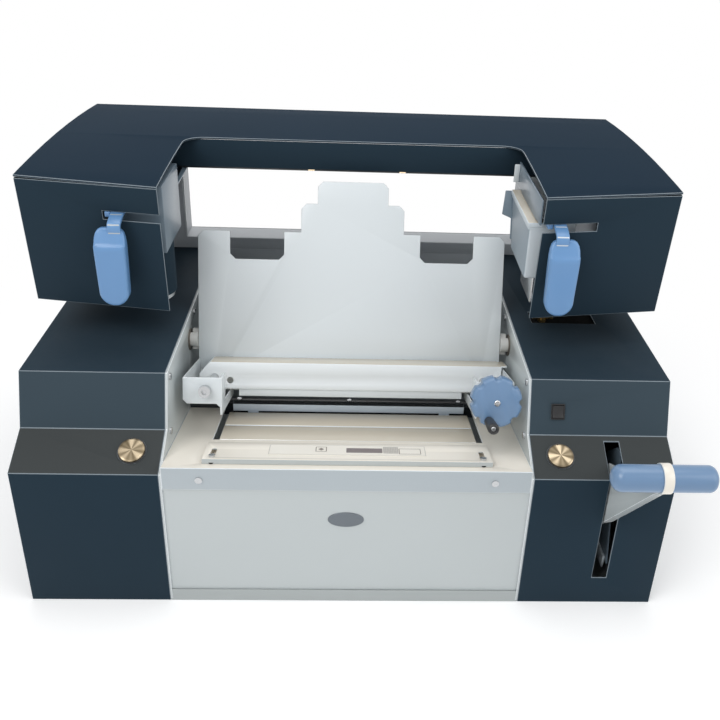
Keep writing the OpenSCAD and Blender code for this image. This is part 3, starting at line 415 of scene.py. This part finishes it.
def merged_copy(node):
    """A bmesh of a CAD node with its loose triangles joined into flat faces."""
    bm = bmesh.new()
    bm.from_mesh(frame["nodes"][node].data)
    bmesh.ops.remove_doubles(bm, verts=bm.verts, dist=2e-6)
    bmesh.ops.dissolve_limit(
        bm, angle_limit=math.radians(0.5), verts=bm.verts, edges=bm.edges
    )
    return bm


def bevel_sharp(bm, width, segments=2, sharp=28):
    """Rounds every edge that bends by more than an angle and gives back the new faces."""
    edges = [
        e
        for e in bm.edges
        if len(e.link_faces) == 2 and e.calc_face_angle(0) > math.radians(sharp)
    ]
    return bmesh.ops.bevel(
        bm, geom=edges, offset=width, offset_type="OFFSET", segments=segments,
        profile=0.5, affect="EDGES", clamp_overlap=False, material=-1,
    )["faces"]


NODE_BODY = {n: b for b, ns in frame["record"]["behaviour"]["bodies"].items() for n in ns}


def soften(node, paints, width=0.7, edge=0, choose=None):
    """Shows a CAD node as its bevelled copy. Its rounded edges take paint number
    edge, and choose(x, y, z, normal) picks the paint of a face, in millimetres."""
    bm = merged_copy(node)
    for face in bm.faces if choose else ():
        x, y, z = face.calc_center_median() / MM
        face.material_index = choose(x, y + BASE_DEPTH / 2, z, face.normal)
    rims = bevel_sharp(bm, width * MM)
    for face in rims if edge else ():
        face.material_index = edge
    return show(bm, node + "_skin", NODE_BODY[node], [node], paints)


# %% Painted sheet
def slope_painted_reflection(x, y, z, n):
    """The lower and upper front slopes take lighter copies of the coat: painted reflection
    where they catch more light than the upright faces.
    """
    if y > 120 or n.y > -0.2 or n.z < 0.2:
        return 0
    return 2 if n.z > 0.7 else 3


# Rounded edges take the light copy of the coat: painted highlight.
for node in ("left_casing", "right_casing"):
    soften(node, [slate, slate_edge_highlight, slate_lower_painted_reflection, slate_upper_painted_reflection], 0.8, edge=1, choose=slope_painted_reflection)
for node in ("left_tower", "right_tower"):
    soften(node, [slate, slate_edge_highlight], 0.8, edge=1)
soften("arch_top", [slate_top_painted_shade, slate_edge_highlight], 0.8, edge=1)
for node in ("arch_back", "beam_face"):
    soften(node, slate)
soften("rear_panel", [slate, lining], choose=lambda x, y, z, n: int(y < 560))
for node in ("rear_frame", "window_lining"):
    soften(node, lining)
# Their rounded edges take pale_edge: painted highlight.
for node in ("left_wall", "right_wall", "front_panel", "belt_cover"):
    soften(node, [pale, pale_edge], 0.7, edge=1)
soften("base_pan", pan_grey)
soften("anvil_strip", strip_black)
soften("beam_trim", strip_black)
soften("nip_bar", [ice, strip_black], 1.0, choose=lambda x, y, z, n: int(n.z > 0.7))
soften("press_table", [beige, satin], choose=lambda x, y, z, n: int(abs(n.z) < 0.9))

# %% Sheet with two finishes
LEAN = math.radians(LEAN_DEGREES)
CLAMP_UP = Vector((0, math.sin(LEAN), math.cos(LEAN)))
soften("back_plate", [bright, cut_edge], 0.6,
       choose=lambda x, y, z, n: int(abs(n.y) < 0.8))
# The jaw bar's rounded edges take pale_edge: painted highlight.
soften("jaw_bar", [pale_edge, beige, pale_edge], 0.8, edge=2,
       choose=lambda x, y, z, n: int(n.dot(CLAMP_UP) > 0.9))
# The brackets' rounded edges take pale_edge: painted highlight.
for node in ("left_bracket", "right_bracket"):
    soften(node, [bright, pale_edge], 0.6, edge=1)
# The bed's rounded edges and folds take pale_edge: painted highlight.
soften("table_bed", [cream, fascia, pale_edge], 0.9, edge=2,
       choose=lambda x, y, z, n: int(n.y < -0.7))
# The carriage plates and guards take the shaded grey: painted shade. The parts that stand in
# the light take the lighter enamels.
soften("mill_housing", carriage_painted_shade_grey)
soften("mill_carriage", [carriage_painted_shade_grey, pale],
       choose=lambda x, y, z, n: int(y < 190))
soften("glue_carriage", [carriage_painted_shade_grey, bright], 0.6,
       choose=lambda x, y, z, n: int(x > 257 and z < 533))
soften("splash_guard", carriage_painted_shade_grey)
soften("mill_guard", slate)
# The lever's rounded edges take the lighter plate enamel: painted highlight.
soften("lever_arm", [pale, cream, bright], 0.5, edge=2,
       choose=lambda x, y, z, n: int(math.hypot(y - GRIP_Y, z - GRIP_Z) < 19))

PLAIN = {
    steel: ("carriage_rails", "guide_beam", "screws", "tie_bar", "right_screw",
            "left_screw", "mill_motor", "cutter", "glue_roller", "lever_shaft"),
    boss: ("pivot_pins",),
    black: ("control_bezels", "power_inlet"),
    bronze: ("pivot_bushes", "lever_bearings"),
    rubber: ("sync_belt",),
}
for paint, nodes in PLAIN.items():
    for node in nodes:
        data = frame["nodes"][node].data
        data.materials.clear()
        data.materials.append(paint)
print("nodes shown as they are:", sum(len(n) for n in PLAIN.values()))

# %% [markdown]
# ## Mesh tools
# Pieces are drawn in millimetres in a local frame, then set into the machine:
# the base's own frame, the clamp's, the table's slope and the two front slopes.


# %% Local frames
def local(x, y, z, tilt=0.0):
    """The matrix of a millimetre frame at a place, tilted about X by degrees."""
    turn = Matrix.Rotation(math.radians(tilt), 4, "X")
    return Matrix.Translation(at(x, y, z)) @ turn @ Matrix.Scale(MM, 4)


TABLE_FALL = math.degrees(math.atan(TABLE_DROP))
SLOPE_1 = math.degrees(math.atan2(31, 61))
SLOPE_2 = math.degrees(math.atan2(74, 28))
BASE = local(0, 0, 0)
CLAMP = local(0, PIVOT_Y, PIVOT_Z, -LEAN_DEGREES)
TABLE = local(0, 0, 236, -TABLE_FALL)
SWITCH = local(292, 61, 255, SLOPE_2) @ Matrix.Translation((0, 33.7, 0))


def button_frame(side):
    return local(side * 293, 0, 224, SLOPE_1) @ Matrix.Translation((0, 35.2, 0))


ALONG = {
    "x": Matrix(((0, 0, 1, 0), (1, 0, 0, 0), (0, 1, 0, 0), (0, 0, 0, 1))),
    "y": Matrix(((1, 0, 0, 0), (0, 0, -1, 0), (0, 1, 0, 0), (0, 0, 0, 1))),
    "z": Matrix.Identity(4),
}


# %% Grown shapes
def raise_face(bm, face, up, wide=1.0):
    """Extrudes a face along Z, scales its new end about the Z axis and gives it back."""
    grown = bmesh.ops.extrude_face_region(bm, geom=[face])["geom"]
    end = next(g for g in grown if isinstance(g, bmesh.types.BMFace))
    bmesh.ops.translate(bm, vec=(0, 0, up), verts=end.verts)
    bmesh.ops.scale(bm, vec=(wide, wide, 1), verts=end.verts)
    return end


def stack(outline, steps):
    """A solid grown from a flat outline through (height, scale) steps, and its last face."""
    bm = bmesh.new()
    height, scale = steps[0]
    face = bm.faces.new([bm.verts.new((u * scale, v * scale, height)) for u, v in outline])
    for up, wide in steps[1:]:
        face = raise_face(bm, face, up - height, wide / scale)
        height, scale = up, wide
    return bm, face


def prism(outline, low, high, axis="x"):
    """A closed prism. The outline is (y, z) along x, (x, z) along y or (x, y) along z."""
    if axis == "y":
        low, high = -high, -low
    bm, _ = stack(outline, ((low, 1), (high, 1)))
    bmesh.ops.recalc_face_normals(bm, faces=bm.faces)
    bmesh.ops.transform(bm, matrix=ALONG[axis], verts=bm.verts)
    return bm


def rounded(bm, radius, segments=3, sharp=20, pick=None):
    """Rounds the sharp edges, or only those that pass a test."""
    edges = [
        e for e in bm.edges
        if len(e.link_faces) == 2 and e.calc_face_angle(0) > math.radians(sharp)
        and (pick is None or pick(e))
    ]
    bmesh.ops.bevel(
        bm, geom=edges, offset=radius, offset_type="OFFSET", segments=segments,
        profile=0.5, affect="EDGES", clamp_overlap=True, material=-1,
    )
    return bm


def block(low, high, radius=0.0, segments=3):
    """A box from corner to corner with rounded edges."""
    bm = bmesh.new()
    bmesh.ops.create_cube(bm, size=1)
    size = [h - l for l, h in zip(low, high)]
    middle = [(l + h) / 2 for l, h in zip(low, high)]
    bmesh.ops.scale(bm, vec=size, verts=bm.verts)
    bmesh.ops.translate(bm, vec=middle, verts=bm.verts)
    return rounded(bm, radius, segments) if radius else bm


def lathe(profile, steps=48, axis="z"):
    """A turned solid: a (radius, height) profile spun once round the axis."""
    points = list(profile)
    if points[0][0] > 0:
        points.insert(0, (0, points[0][1]))
    if points[-1][0] > 0:
        points.append((0, points[-1][1]))
    bm = bmesh.new()
    verts = [bm.verts.new((r, 0, h)) for r, h in points]
    wire = [bm.edges.new(pair) for pair in zip(verts, verts[1:])]
    bmesh.ops.spin(
        bm, geom=verts + wire, cent=(0, 0, 0), axis=(0, 0, 1), dvec=(0, 0, 0),
        angle=2 * math.pi, steps=steps, use_merge=True, use_duplicate=False,
    )
    bmesh.ops.remove_doubles(bm, verts=bm.verts, dist=1e-4)
    bmesh.ops.recalc_face_normals(bm, faces=bm.faces)
    bmesh.ops.transform(bm, matrix=ALONG[axis], verts=bm.verts)
    return bm


# %% Placing shapes
def moved(bm, x=0.0, y=0.0, z=0.0):
    bmesh.ops.translate(bm, vec=(x, y, z), verts=bm.verts)
    return bm


def facing_front(bm):
    """Turns a shape that points along +Z to point along -Y."""
    bmesh.ops.rotate(bm, matrix=Matrix.Rotation(math.pi / 2, 3, "X"), verts=bm.verts)
    return bm


def piece(name, body, nodes, slot, mats, where, *parts, smooth=35):
    """Joins shapes, sets them in a frame and shows them. A part is a bmesh, or a
    bmesh and its material index."""
    whole = bmesh.new()
    for part in parts:
        if isinstance(part, tuple):
            part, index = part
            for face in part.faces:
                face.material_index = index
        keep = bpy.data.meshes.new("part")
        part.to_mesh(keep)
        part.free()
        whole.from_mesh(keep)
        bpy.data.meshes.remove(keep)
    bmesh.ops.transform(whole, matrix=where, verts=whole.verts)
    return show(whole, name, body, nodes, mats, smooth)


# %% Outlines
def ribbon(path, half):
    """A closed outline that follows a path at a distance on both sides."""
    sides = ([], [])
    for i, (u, v) in enumerate(path):
        a, b = path[max(i - 1, 0)], path[min(i + 1, len(path) - 1)]
        along = Vector((b[0] - a[0], b[1] - a[1])).normalized()
        for side, sign in zip(sides, (1, -1)):
            side.append((u - sign * half * along.y, v + sign * half * along.x))
    return sides[0] + sides[1][::-1]


def arc(cx, cy, radius, start, end, steps=6):
    """Points on a circle between two angles in degrees."""
    angles = [math.radians(start + (end - start) * i / steps) for i in range(steps + 1)]
    return [(cx + radius * math.cos(a), cy + radius * math.sin(a)) for a in angles]


def round_outline(w, h, r, cx=0.0, cy=0.0, steps=5):
    """A rectangle with round corners about a centre."""
    x, y = w / 2 - r, h / 2 - r
    corners = ((x, y), (-x, y), (-x, -y), (x, -y))
    return [point for i, (u, v) in enumerate(corners)
            for point in arc(cx + u, cy + v, r, 90 * i, 90 * i + 90, steps)]


def sheet(outline, holes, low, high):
    """A flat sheet with holes: the loops are filled, then the face is extruded."""
    bm = bmesh.new()
    edges = []
    for loop in [outline, *holes]:
        verts = [bm.verts.new((u, v, low)) for u, v in loop]
        edges += [bm.edges.new((verts[i - 1], verts[i])) for i in range(len(verts))]
    filled = bmesh.ops.triangle_fill(bm, edges=edges, use_beauty=True)["geom"]
    faces = [g for g in filled if isinstance(g, bmesh.types.BMFace)]
    grown = bmesh.ops.extrude_face_region(bm, geom=faces)["geom"]
    bmesh.ops.translate(bm, vec=(0, 0, high - low),
                        verts=[g for g in grown if isinstance(g, bmesh.types.BMVert)])
    bmesh.ops.recalc_face_normals(bm, faces=bm.faces)
    bmesh.ops.dissolve_limit(bm, angle_limit=0.01, verts=bm.verts, edges=bm.edges)
    return bm


# %% Socket screw
def socket_screw(radius, height, socket=0.55):
    """A domed screw head that points along +Z, with a hexagon socket."""
    circle = arc(0, 0, radius, 0, 360, 24)[:-1]
    bm, top = stack(circle, ((0, 1), (height * 0.4, 1), (height * 0.75, 0.9),
                             (height, 0.72), (height, socket * 1.1)))
    for vert in top.verts:
        turn = math.atan2(vert.co.y, vert.co.x)
        off = (turn + math.pi / 6) % (math.pi / 3) - math.pi / 6
        flat = radius * socket * math.cos(math.pi / 6) / math.cos(off)
        vert.co.x, vert.co.y = flat * math.cos(turn), flat * math.sin(turn)
    raise_face(bm, top, -height * 0.75)
    bmesh.ops.recalc_face_normals(bm, faces=bm.faces)
    return bm


# %% [markdown]
# ## Handles
# The two carriage handles are moulded paddles: a flat front, a top that slopes
# back from a crease, and a strap of the same plastic that runs into the slot. A
# prism is rounded, cut across by planes, and its top part is then pushed back.


# %% Paddles
def paddle(depth=19.0, radius=4.2):
    """A handle in its own frame: front at y = 0, top at z = 0."""
    side = [(8, 0), (12, -0.6), (16, -3), (18.6, -7), (20.2, -13), (21, -22), (21, -32),
            (20.4, -60), (19.7, -88)]
    side += arc(0, -89.3, 19.7, 0, -80, 9)
    outline = side + [(-x, z) for x, z in reversed(side)]
    bm = rounded(prism(outline, 0, depth, "y"), radius, 4, sharp=60)
    for z in (-33, -30, -27, -24, -21, -18, -15, -12, -9, -6, -3):
        bmesh.ops.bisect_plane(bm, geom=bm.verts[:] + bm.edges[:] + bm.faces[:],
                               plane_co=(0, 0, z), plane_no=(0, 0, 1))
    for vert in bm.verts:
        t = min(max((vert.co.z + 29) / 26, 0), 1)
        rise = t * t * (2 - t) if t < 0.3 else t * 1.08 - 0.08 * t * t
        vert.co.y += 10.5 * rise * (1 - vert.co.y / depth)
    return bm


def strap(y, z):
    """The strap from a paddle's top back into the slot, in (y, z) from the bracket."""
    path = [(y + 1.5, z - 16), (y + 1.5, z - 9), (y + 2.4, z - 6.6), (y + 5, z - 4.4),
            (y + 17, z - 0.4), (y + 21, z + 0.9), (y + 25, z + 1.5), (y + 62, z + 1.5)]
    return rounded(prism(ribbon(path, 2.5), -8.8, 8.8), 1.1, 2, sharp=60)


ARM_Z = 529.6
for name, node, body, x, neck in (
    ("left_paddle", "left_handle", "mill_unit", -321, -314),
    ("right_paddle", "right_handle", "glue_unit", 286, 281),
):
    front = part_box(node)[0][1] / MM + BASE_DEPTH / 2
    piece(name, body, [node], "blue_plastic", blue, BASE,
          moved(paddle(), x, front, ARM_Z - 10.6),
          moved(strap(front + 9, ARM_Z), neck),
          block((neck - 17, front + 34, ARM_Z - 3.6),
                (neck - 9.5, front + 60, ARM_Z + 3.8), 1),
          smooth=40)
    print(name, "front at", round(front, 1), "mm")

# %% [markdown]
# ## Knob and crank
# A flat disc with eight hollows round its rim turns the lead screws. It carries a
# short black crank and a silver socket screw in the middle.


# %% Star knob
def knob_outline(radius=36.5, lobes=8, hollow=6.4, centre=38.8, steps=24):
    """A circle with round hollows whose corners are eased."""
    points = []
    for i in range(lobes * steps):
        a = 2 * math.pi * i / (lobes * steps)
        off = (a + math.pi / lobes) % (2 * math.pi / lobes) - math.pi / lobes
        r = radius
        reach = hollow ** 2 - (centre * math.sin(off)) ** 2
        if reach > 0:
            d = max(radius - centre * math.cos(off) + math.sqrt(reach), 0)
            r = radius - d * d / (d + 0.5)
        points.append((r * math.cos(a), r * math.sin(a)))
    return points


KNOB = Vector((204.4, -160.0, -48.7))  # middle of the knob's back face, clamp's frame
disc, _ = stack(knob_outline(), ((0, 0.95), (1, 0.985), (3, 1), (13, 1), (15.6, 0.985),
                                 (17.6, 0.955), (19.2, 0.9), (20, 0.84)))
bmesh.ops.recalc_face_normals(disc, faces=disc.faces)
piece("knob_body", "drive_screw", ["star_knob"], "blue_plastic", [blue_grey, steel], CLAMP,
      moved(facing_front(disc), *KNOB),
      moved(lathe([(15, 0), (15, 11), (14, 13)], 48, "y"), KNOB.x, KNOB.y + 13, KNOB.z),
      (moved(facing_front(socket_screw(4.6, 2.6)), KNOB.x, KNOB.y - 19.6, KNOB.z), 1))
CRANK = KNOB + Vector((-10.5, -20, -25.6))
piece("crank_handle", "crank", ["crank_grip"], "black_plastic", black, CLAMP,
      moved(lathe([(5.8, 0.4), (6.6, 0.8), (6.9, 4), (7.1, 12), (7.6, 24), (7.9, 36),
                   (7.7, 39.4), (7.0, 41.2), (5.6, 42), (4.4, 41.4), (4.4, 38.4)], 48, "y"),
            *CRANK))
piece("crank_screw", "drive_screw", [], "steel", steel, CLAMP,
      moved(facing_front(socket_screw(3.9, 2.4, 0.5)), CRANK.x, CRANK.y - 39, CRANK.z))
print("crank pin at", [round(v, 1) for v in CRANK], "in the clamp's frame")

# %% [markdown]
# ## Lever grip
# The grip is a solid bar with rounded ends that passes through the lever's ring.

# %% Grip
GRIP_RADIUS = 16.2


def grip_end(face, inward, radius):
    """Profile points of a rounded end: its flat face, the way inward and its rounding."""
    turns = [math.radians(90 * i / 8) for i in range(9)]
    return [(GRIP_RADIUS - radius * (1 - math.sin(a)),
             face + inward * radius * (1 - math.cos(a))) for a in turns]


grip = grip_end(303, 1, 12.5) + grip_end(427, -1, 9.5)[::-1]
print("grip length", grip[-1][1] - grip[0][1], "mm")
piece("grip_bar", "lever", ["lever_grip"], "blue_plastic", blue_grey, BASE,
      moved(lathe(grip, 64, "x"), 0, GRIP_Y, GRIP_Z))

# %% [markdown]
# ## Push buttons and switch
# The two start buttons are spun metal caps. A lathe leaves fine rings that throw
# back rays of light; here these rays are a painted reflection, so the colour and
# roughness follow the angle round the cap. The angle comes from a flat UV map in
# the cap's own plane, which moves with the cap.

# %% Spun metal
spun = bpy.data.materials.new("spun_cap")
spun.use_nodes = True
tree = spun.node_tree
shader = tree.nodes["Principled BSDF"]
shader.inputs["Metallic"].default_value = 1.0
uv = add(tree, "ShaderNodeUVMap", uv_map="cap")
turn = add(tree, "ShaderNodeTexGradient", gradient_type="RADIAL")
link(tree, uv.outputs[0], turn.inputs[0])
waves = []
for count, shift in ((3, 0.4), (5, 1.9), (8, 0.7)):
    angle = add(tree, "ShaderNodeMath", operation="MULTIPLY_ADD")
    angle.inputs[1].default_value = 2 * math.pi * count
    angle.inputs[2].default_value = shift
    link(tree, turn.outputs["Fac"], angle.inputs[0])
    wave = add(tree, "ShaderNodeMath", operation="SINE")
    link(tree, angle.outputs[0], wave.inputs[0])
    waves.append(wave)
first = add(tree, "ShaderNodeMath", operation="ADD")
total = add(tree, "ShaderNodeMath", operation="ADD")
link(tree, waves[0].outputs[0], first.inputs[0])
link(tree, waves[1].outputs[0], first.inputs[1])
link(tree, first.outputs[0], total.inputs[0])
link(tree, waves[2].outputs[0], total.inputs[1])
painted_rays = add(tree, "ShaderNodeMapRange")
painted_rays.inputs["From Min"].default_value = -1.7
painted_rays.inputs["From Max"].default_value = 1.7
link(tree, total.outputs[0], painted_rays.inputs["Value"])
# The ramp paints the reflected rays into the colour: painted reflection.
ramp = add(tree, "ShaderNodeValToRGB")
ramp.color_ramp.elements[0].color = (0.10, 0.078, 0.046, 1)
ramp.color_ramp.elements[1].color = (0.44, 0.36, 0.25, 1)
link(tree, painted_rays.outputs[0], ramp.inputs[0])
link(tree, ramp.outputs[0], shader.inputs["Base Color"])
ray_roughness = add(tree, "ShaderNodeMapRange")
ray_roughness.inputs["To Min"].default_value = 0.42
ray_roughness.inputs["To Max"].default_value = 0.26
link(tree, painted_rays.outputs[0], ray_roughness.inputs["Value"])
link(tree, ray_roughness.outputs[0], shader.inputs["Roughness"])

# %% Caps
for side, name in ((-1, "left_button"), (1, "right_button")):
    cap = lathe([(17.8, -7), (17.8, 2.6), (17.5, 3.3), (16.6, 3.75), (14, 3.9), (7, 4)], 72)
    sheet_uv = cap.loops.layers.uv.new("cap")
    for face in cap.faces:
        for loop in face.loops:
            loop[sheet_uv].uv = (loop.vert.co.x, loop.vert.co.y)
    bmesh.ops.transform(cap, matrix=button_frame(side), verts=cap.verts)
    show(cap, name + "_cap", NODE_BODY[name], [name], spun)

# %% Rocker
rocker = [(-8, -6), (-8.9, 3.2), (-7.6, 3.0), (0, 1.7), (7.6, 3.0), (8.9, 3.2), (8, -6)]
piece("rocker_key", "switch_rocker", ["rocker"], "black_plastic", black, SWITCH,
      rounded(prism(rocker, -7.9, 7.9), 0.5, 2),
      block((-3, -6.2, 2.2), (3, -5.4, 2.9), 0.2, 1))
frame_ring = sheet(round_outline(19, 22, 1.6), [round_outline(16.6, 19.6, 0.8)], 1.0, 2.3)
piece("rocker_frame", "base", [], "black_plastic", black, SWITCH,
      rounded(frame_ring, 0.3, 2, 60))

# %% [markdown]
# ## Glue tank
# The tank is a warm grey moulding with soft corners, open under a lid. The box is
# rounded first, then its top face is inset and pushed down to leave even walls.

# %% Tank
def lean_y(z, gap):
    """Depth of a plane that leans as the back plate does, a gap in front of it."""
    return PIVOT_Y + (z - PIVOT_Z) * math.tan(LEAN) - gap / math.cos(LEAN)


PLATE_GAP = 7.6  # from the tank's rear to the clamp's raised back plate
tank = prism([(180, 441), (180, 516), (lean_y(516, PLATE_GAP), 516),
              (lean_y(441, PLATE_GAP), 441)], 244, 310)
rounded(tank, 4.5, 4, pick=lambda e: min(v.co.z for v in e.verts) < 515.9)
top = max(tank.faces, key=lambda f: f.calc_center_median().z)
bmesh.ops.inset_region(tank, faces=[top], thickness=2.2)
inner = bmesh.ops.extrude_face_region(tank, geom=[top])["geom"]
low = [g for g in inner if isinstance(g, bmesh.types.BMVert)]
TANK_DEPTH = 70
bmesh.ops.translate(tank, vec=(0, 0, -TANK_DEPTH), verts=low)
bmesh.ops.translate(tank, vec=(0, -TANK_DEPTH * math.tan(LEAN), 0),
                    verts=[v for v in low if v.co.y > 250])
bmesh.ops.recalc_face_normals(tank, faces=tank.faces)
trough = block((262, 203, 391.8), (310, 281, 441.5), 2.5)
mouth = min(trough.faces, key=lambda f: f.calc_center_median().z)
bmesh.ops.inset_region(trough, faces=[mouth], thickness=1.6)
inner = bmesh.ops.extrude_face_region(trough, geom=[mouth])["geom"]
bmesh.ops.translate(trough, vec=(0, 0, 46),
                    verts=[g for g in inner if isinstance(g, bmesh.types.BMVert)])
bmesh.ops.recalc_face_normals(trough, faces=trough.faces)
# Faces that turn to the left take the darker copy: painted shade.
for face in tank.faces:
    face.material_index = 3 if face.normal.x < -0.7 else 0
# A near-black strip on the front stands for the latch slot: painted shade.
piece("tank_shell", "glue_unit", ["glue_tank"], "steel", [tank_grey, gap_painted_shade, steel, tank_shade],
      BASE, tank, (trough, 2),
      (block((299.5, 179.75, 499), (302, 180.6, 512), 0.2, 1), 1))

# %% Lid
lid = prism([(178, 519), (178, 526.6), (lean_y(526.6, PLATE_GAP), 526.6),
             (lean_y(519, PLATE_GAP), 519)], 241.5, 309)
rounded(lid, 2, 3)
skirt = prism([(179.4, 516), (179.4, 519.6), (lean_y(519.6, 8.6), 519.6),
               (lean_y(516, 8.6), 516)], 242.8, 308)
plug = block((247, 183, 512), (307, 295, 517), 1.2)
for face in lid.faces:
    face.material_index = int(face.normal.z > 0.9)
piece("lid_cover", "glue_unit", ["tank_lid"], "cream_paint", [tank_grey, beige], BASE,
      lid, rounded(skirt, 0.6, 2), plug)
piece("plate_tab", "glue_unit", [], "pale_paint", bright, BASE,
      block((245.5, 334.5, 534), (253.6, 336.5, 562), 0.6, 2),
      block((306, 186, 517.5), (311.5, 189, 527.4), 0.8, 2))

# %% [markdown]
# ## Ruler bar
# The bar that a book is set against is a folded channel with two slots. Its top is
# filled between the outline and the slots, then extruded. A printed label on it is
# left plain: a frame, a mark in a box, a scale bar and two fields.

# %% Bar
slots = [round_outline(7, 31, 3.45, x, 33.5) for x in (-184.5, 184.5)]
bar = sheet(round_outline(394, 58, 1.0, 0, 42.3), slots, 5.2, 7.5)
rounded(bar, 0.5, 2, 60)
sides = [block((-197, y, 0.1), (197, y + 2.4, 6.4), 0.5, 2) for y in (13.3, 68.9)]
for part in [bar] + sides:
    for face in part.faces:
        face.material_index = int(face.normal.y < -0.5)
piece("ruler_channel", "ruler", ["ruler_bar"], "cream_paint", [cream, pale], TABLE,
      bar, *sides)
# The notches and the slots under the bar are near-black: painted shade.
for x in (-184.5, 184.5):
    half_moon = [(x + u, 2.2 + 0.62 * v) for u, v in arc(0, 0, 3.3, 180, 360, 8)]
    side = "left" if x < 0 else "right"
    piece(side + "_ruler_notch", "ruler", [], "black_plastic", gap_painted_shade, TABLE,
          prism(half_moon, 13.18, 13.6, "y"))
    piece(side + "_guide_slot", "base", [], "dark_strip", gap_painted_shade, TABLE,
          block((x - 4.4, 24, 0.01), (x + 4.4, 46.5, 0.08)))


# %% Label
def band(w, h, cx, cy, width):
    """A thin printed frame on the label."""
    hole = round_outline(w - 2 * width, h - 2 * width, 0.4, cx, cy, 2)
    return sheet(round_outline(w, h, 0.6, cx, cy, 2), [hole], 8.02, 8.16)


piece("label_plate", "ruler", ["ruler_label"], "aluminium", [label_film, label_line, label_bar,
                                                             label_grey], TABLE,
      rounded(prism(round_outline(217, 33.7, 1.5, -1.5, 46.55), 7.4, 8.1, "z"), 0.15, 1, 60),
      (band(216, 32.7, -1.5, 46.55, 0.7), 3),
      (band(15.5, 16, -38, 49, 1.2), 1),
      (prism([(-38, 44.6), (-33.8, 49), (-38, 53.4), (-42.2, 49)], 8.05, 8.16, "z"), 1),
      (prism(round_outline(50, 15.4, 1.4, 21.8, 46), 8.05, 8.18, "z"), 2),
      (prism(round_outline(21, 22, 0.8, 58.5, 48.4), 8.05, 8.15, "z"), 3),
      (band(30.5, 18.4, 85, 44.7, 1.1), 1),
      *[(prism(round_outline(1, 1, 0.3, 50.5 + 2.3 * i, 40 + 2.4 * j, 1), 8.1, 8.2, "z"), 0)
        for i in range(8) for j in range(8)])

# %% [markdown]
# ## Badge, fascia and small trim
# The oval plate on the front is dark cast metal with a raised rim, left plain. Two
# tiny lamps sit in the black trim under the beam, and the brass elbow of a glue
# heater's cable shows in the opening on the right.

# %% Badge
oval = [(x, z / 2) for x, z in arc(0, 0, 25, 0, 360, 72)[:-1]]
plate, _ = stack(oval, ((0, 1), (0.8, 1), (1.15, 0.975), (1.18, 0.92),
                          (0.7, 0.905)))
bmesh.ops.recalc_face_normals(plate, faces=plate.faces)
piece("badge", "base", ["badge_plate"], "aluminium", badge_metal, BASE,
      moved(facing_front(plate), -2, 2, 150), smooth=20)

# %% Beam lamps
warm = bpy.data.materials.new("lamp_lens")
warm.use_nodes = True
shader = warm.node_tree.nodes["Principled BSDF"]
shader.inputs["Base Color"].default_value = (0.8, 0.62, 0.42, 1)
shader.inputs["Roughness"].default_value = 0.3
shader.inputs["Emission Color"].default_value = (1, 0.78, 0.5, 1)
shader.inputs["Emission Strength"].default_value = 0.7
# The lining's front flanges take the lighter pale_edge enamel: painted highlight.
piece("lining_edges", "base", [], "pale_paint", pale_edge, BASE,
      *[block((x - 1.6, 535.6, 352), (x + 1.6, 538.9, 533), 0.5, 2) for x in (-300, 300)])
piece("beam_lamps", "base", [], "dark_strip", warm, BASE,
      *[block((x - 5, 365.2, 533.9), (x + 5, 367, 535.5), 0.4, 2) for x in (-66, 76)])

# %% Painted highlight line, cable elbow and lever guard
def bed_z(y, below):
    """Height of a line a little below the table's sloped top."""
    return 236 - TABLE_DROP * y - below


piece("jaw_lip", NODE_BODY["jaw_bar"], [], "pale_paint", bright, CLAMP,
      block((-168, -48.6, -77), (172, -46.8, -64), 0.5, 2))
# A thin bright strip on the press stands for a step edge's highlight: painted highlight.
piece("press_step_highlight", "press", [], "aluminium", bright, BASE,
      prism([(147.2, bed_z(147.2, 1.6)), (147.2, bed_z(147.2, 0.3)),
             (149.6, bed_z(149.6, 0.3)), (149.6, bed_z(149.6, 1.6))], -185.5, 185.5))
elbow = lathe([(6, 0), (6, 6), (6.6, 6.6), (6.6, 13), (5.2, 14), (5.2, 22), (6, 23), (6, 31)],
              32, "x")
# A near-black plate under the elbow fills the opening: painted shade.
piece("cable_elbow_and_gap_shade", "base", ["cable_gland"], "brass", [gap_painted_shade, brass], BASE,
      block((280.8, 258, 323), (389.8, 304, 326.6), 0.8, 2),
      (moved(elbow, 287.8, 274, 336), 1),
      (moved(lathe([(7, 0), (7, 5), (5.6, 6), (5.6, 9)], 6), 303, 274, 326.4), 1))
# The guard in the lever's slot takes the shaded carriage grey: painted shade.
piece("lever_guard", "base", [], "pale_paint", [carriage_painted_shade_grey, tank_grey], BASE,
      prism([(16, 60), (120, 60), (120, 150), (96, 204), (60, 236), (40, 236), (40, 150)],
            380.5, 382.5),
      (block((377, 24, 46), (380.5, 60, 66), 1), 1))
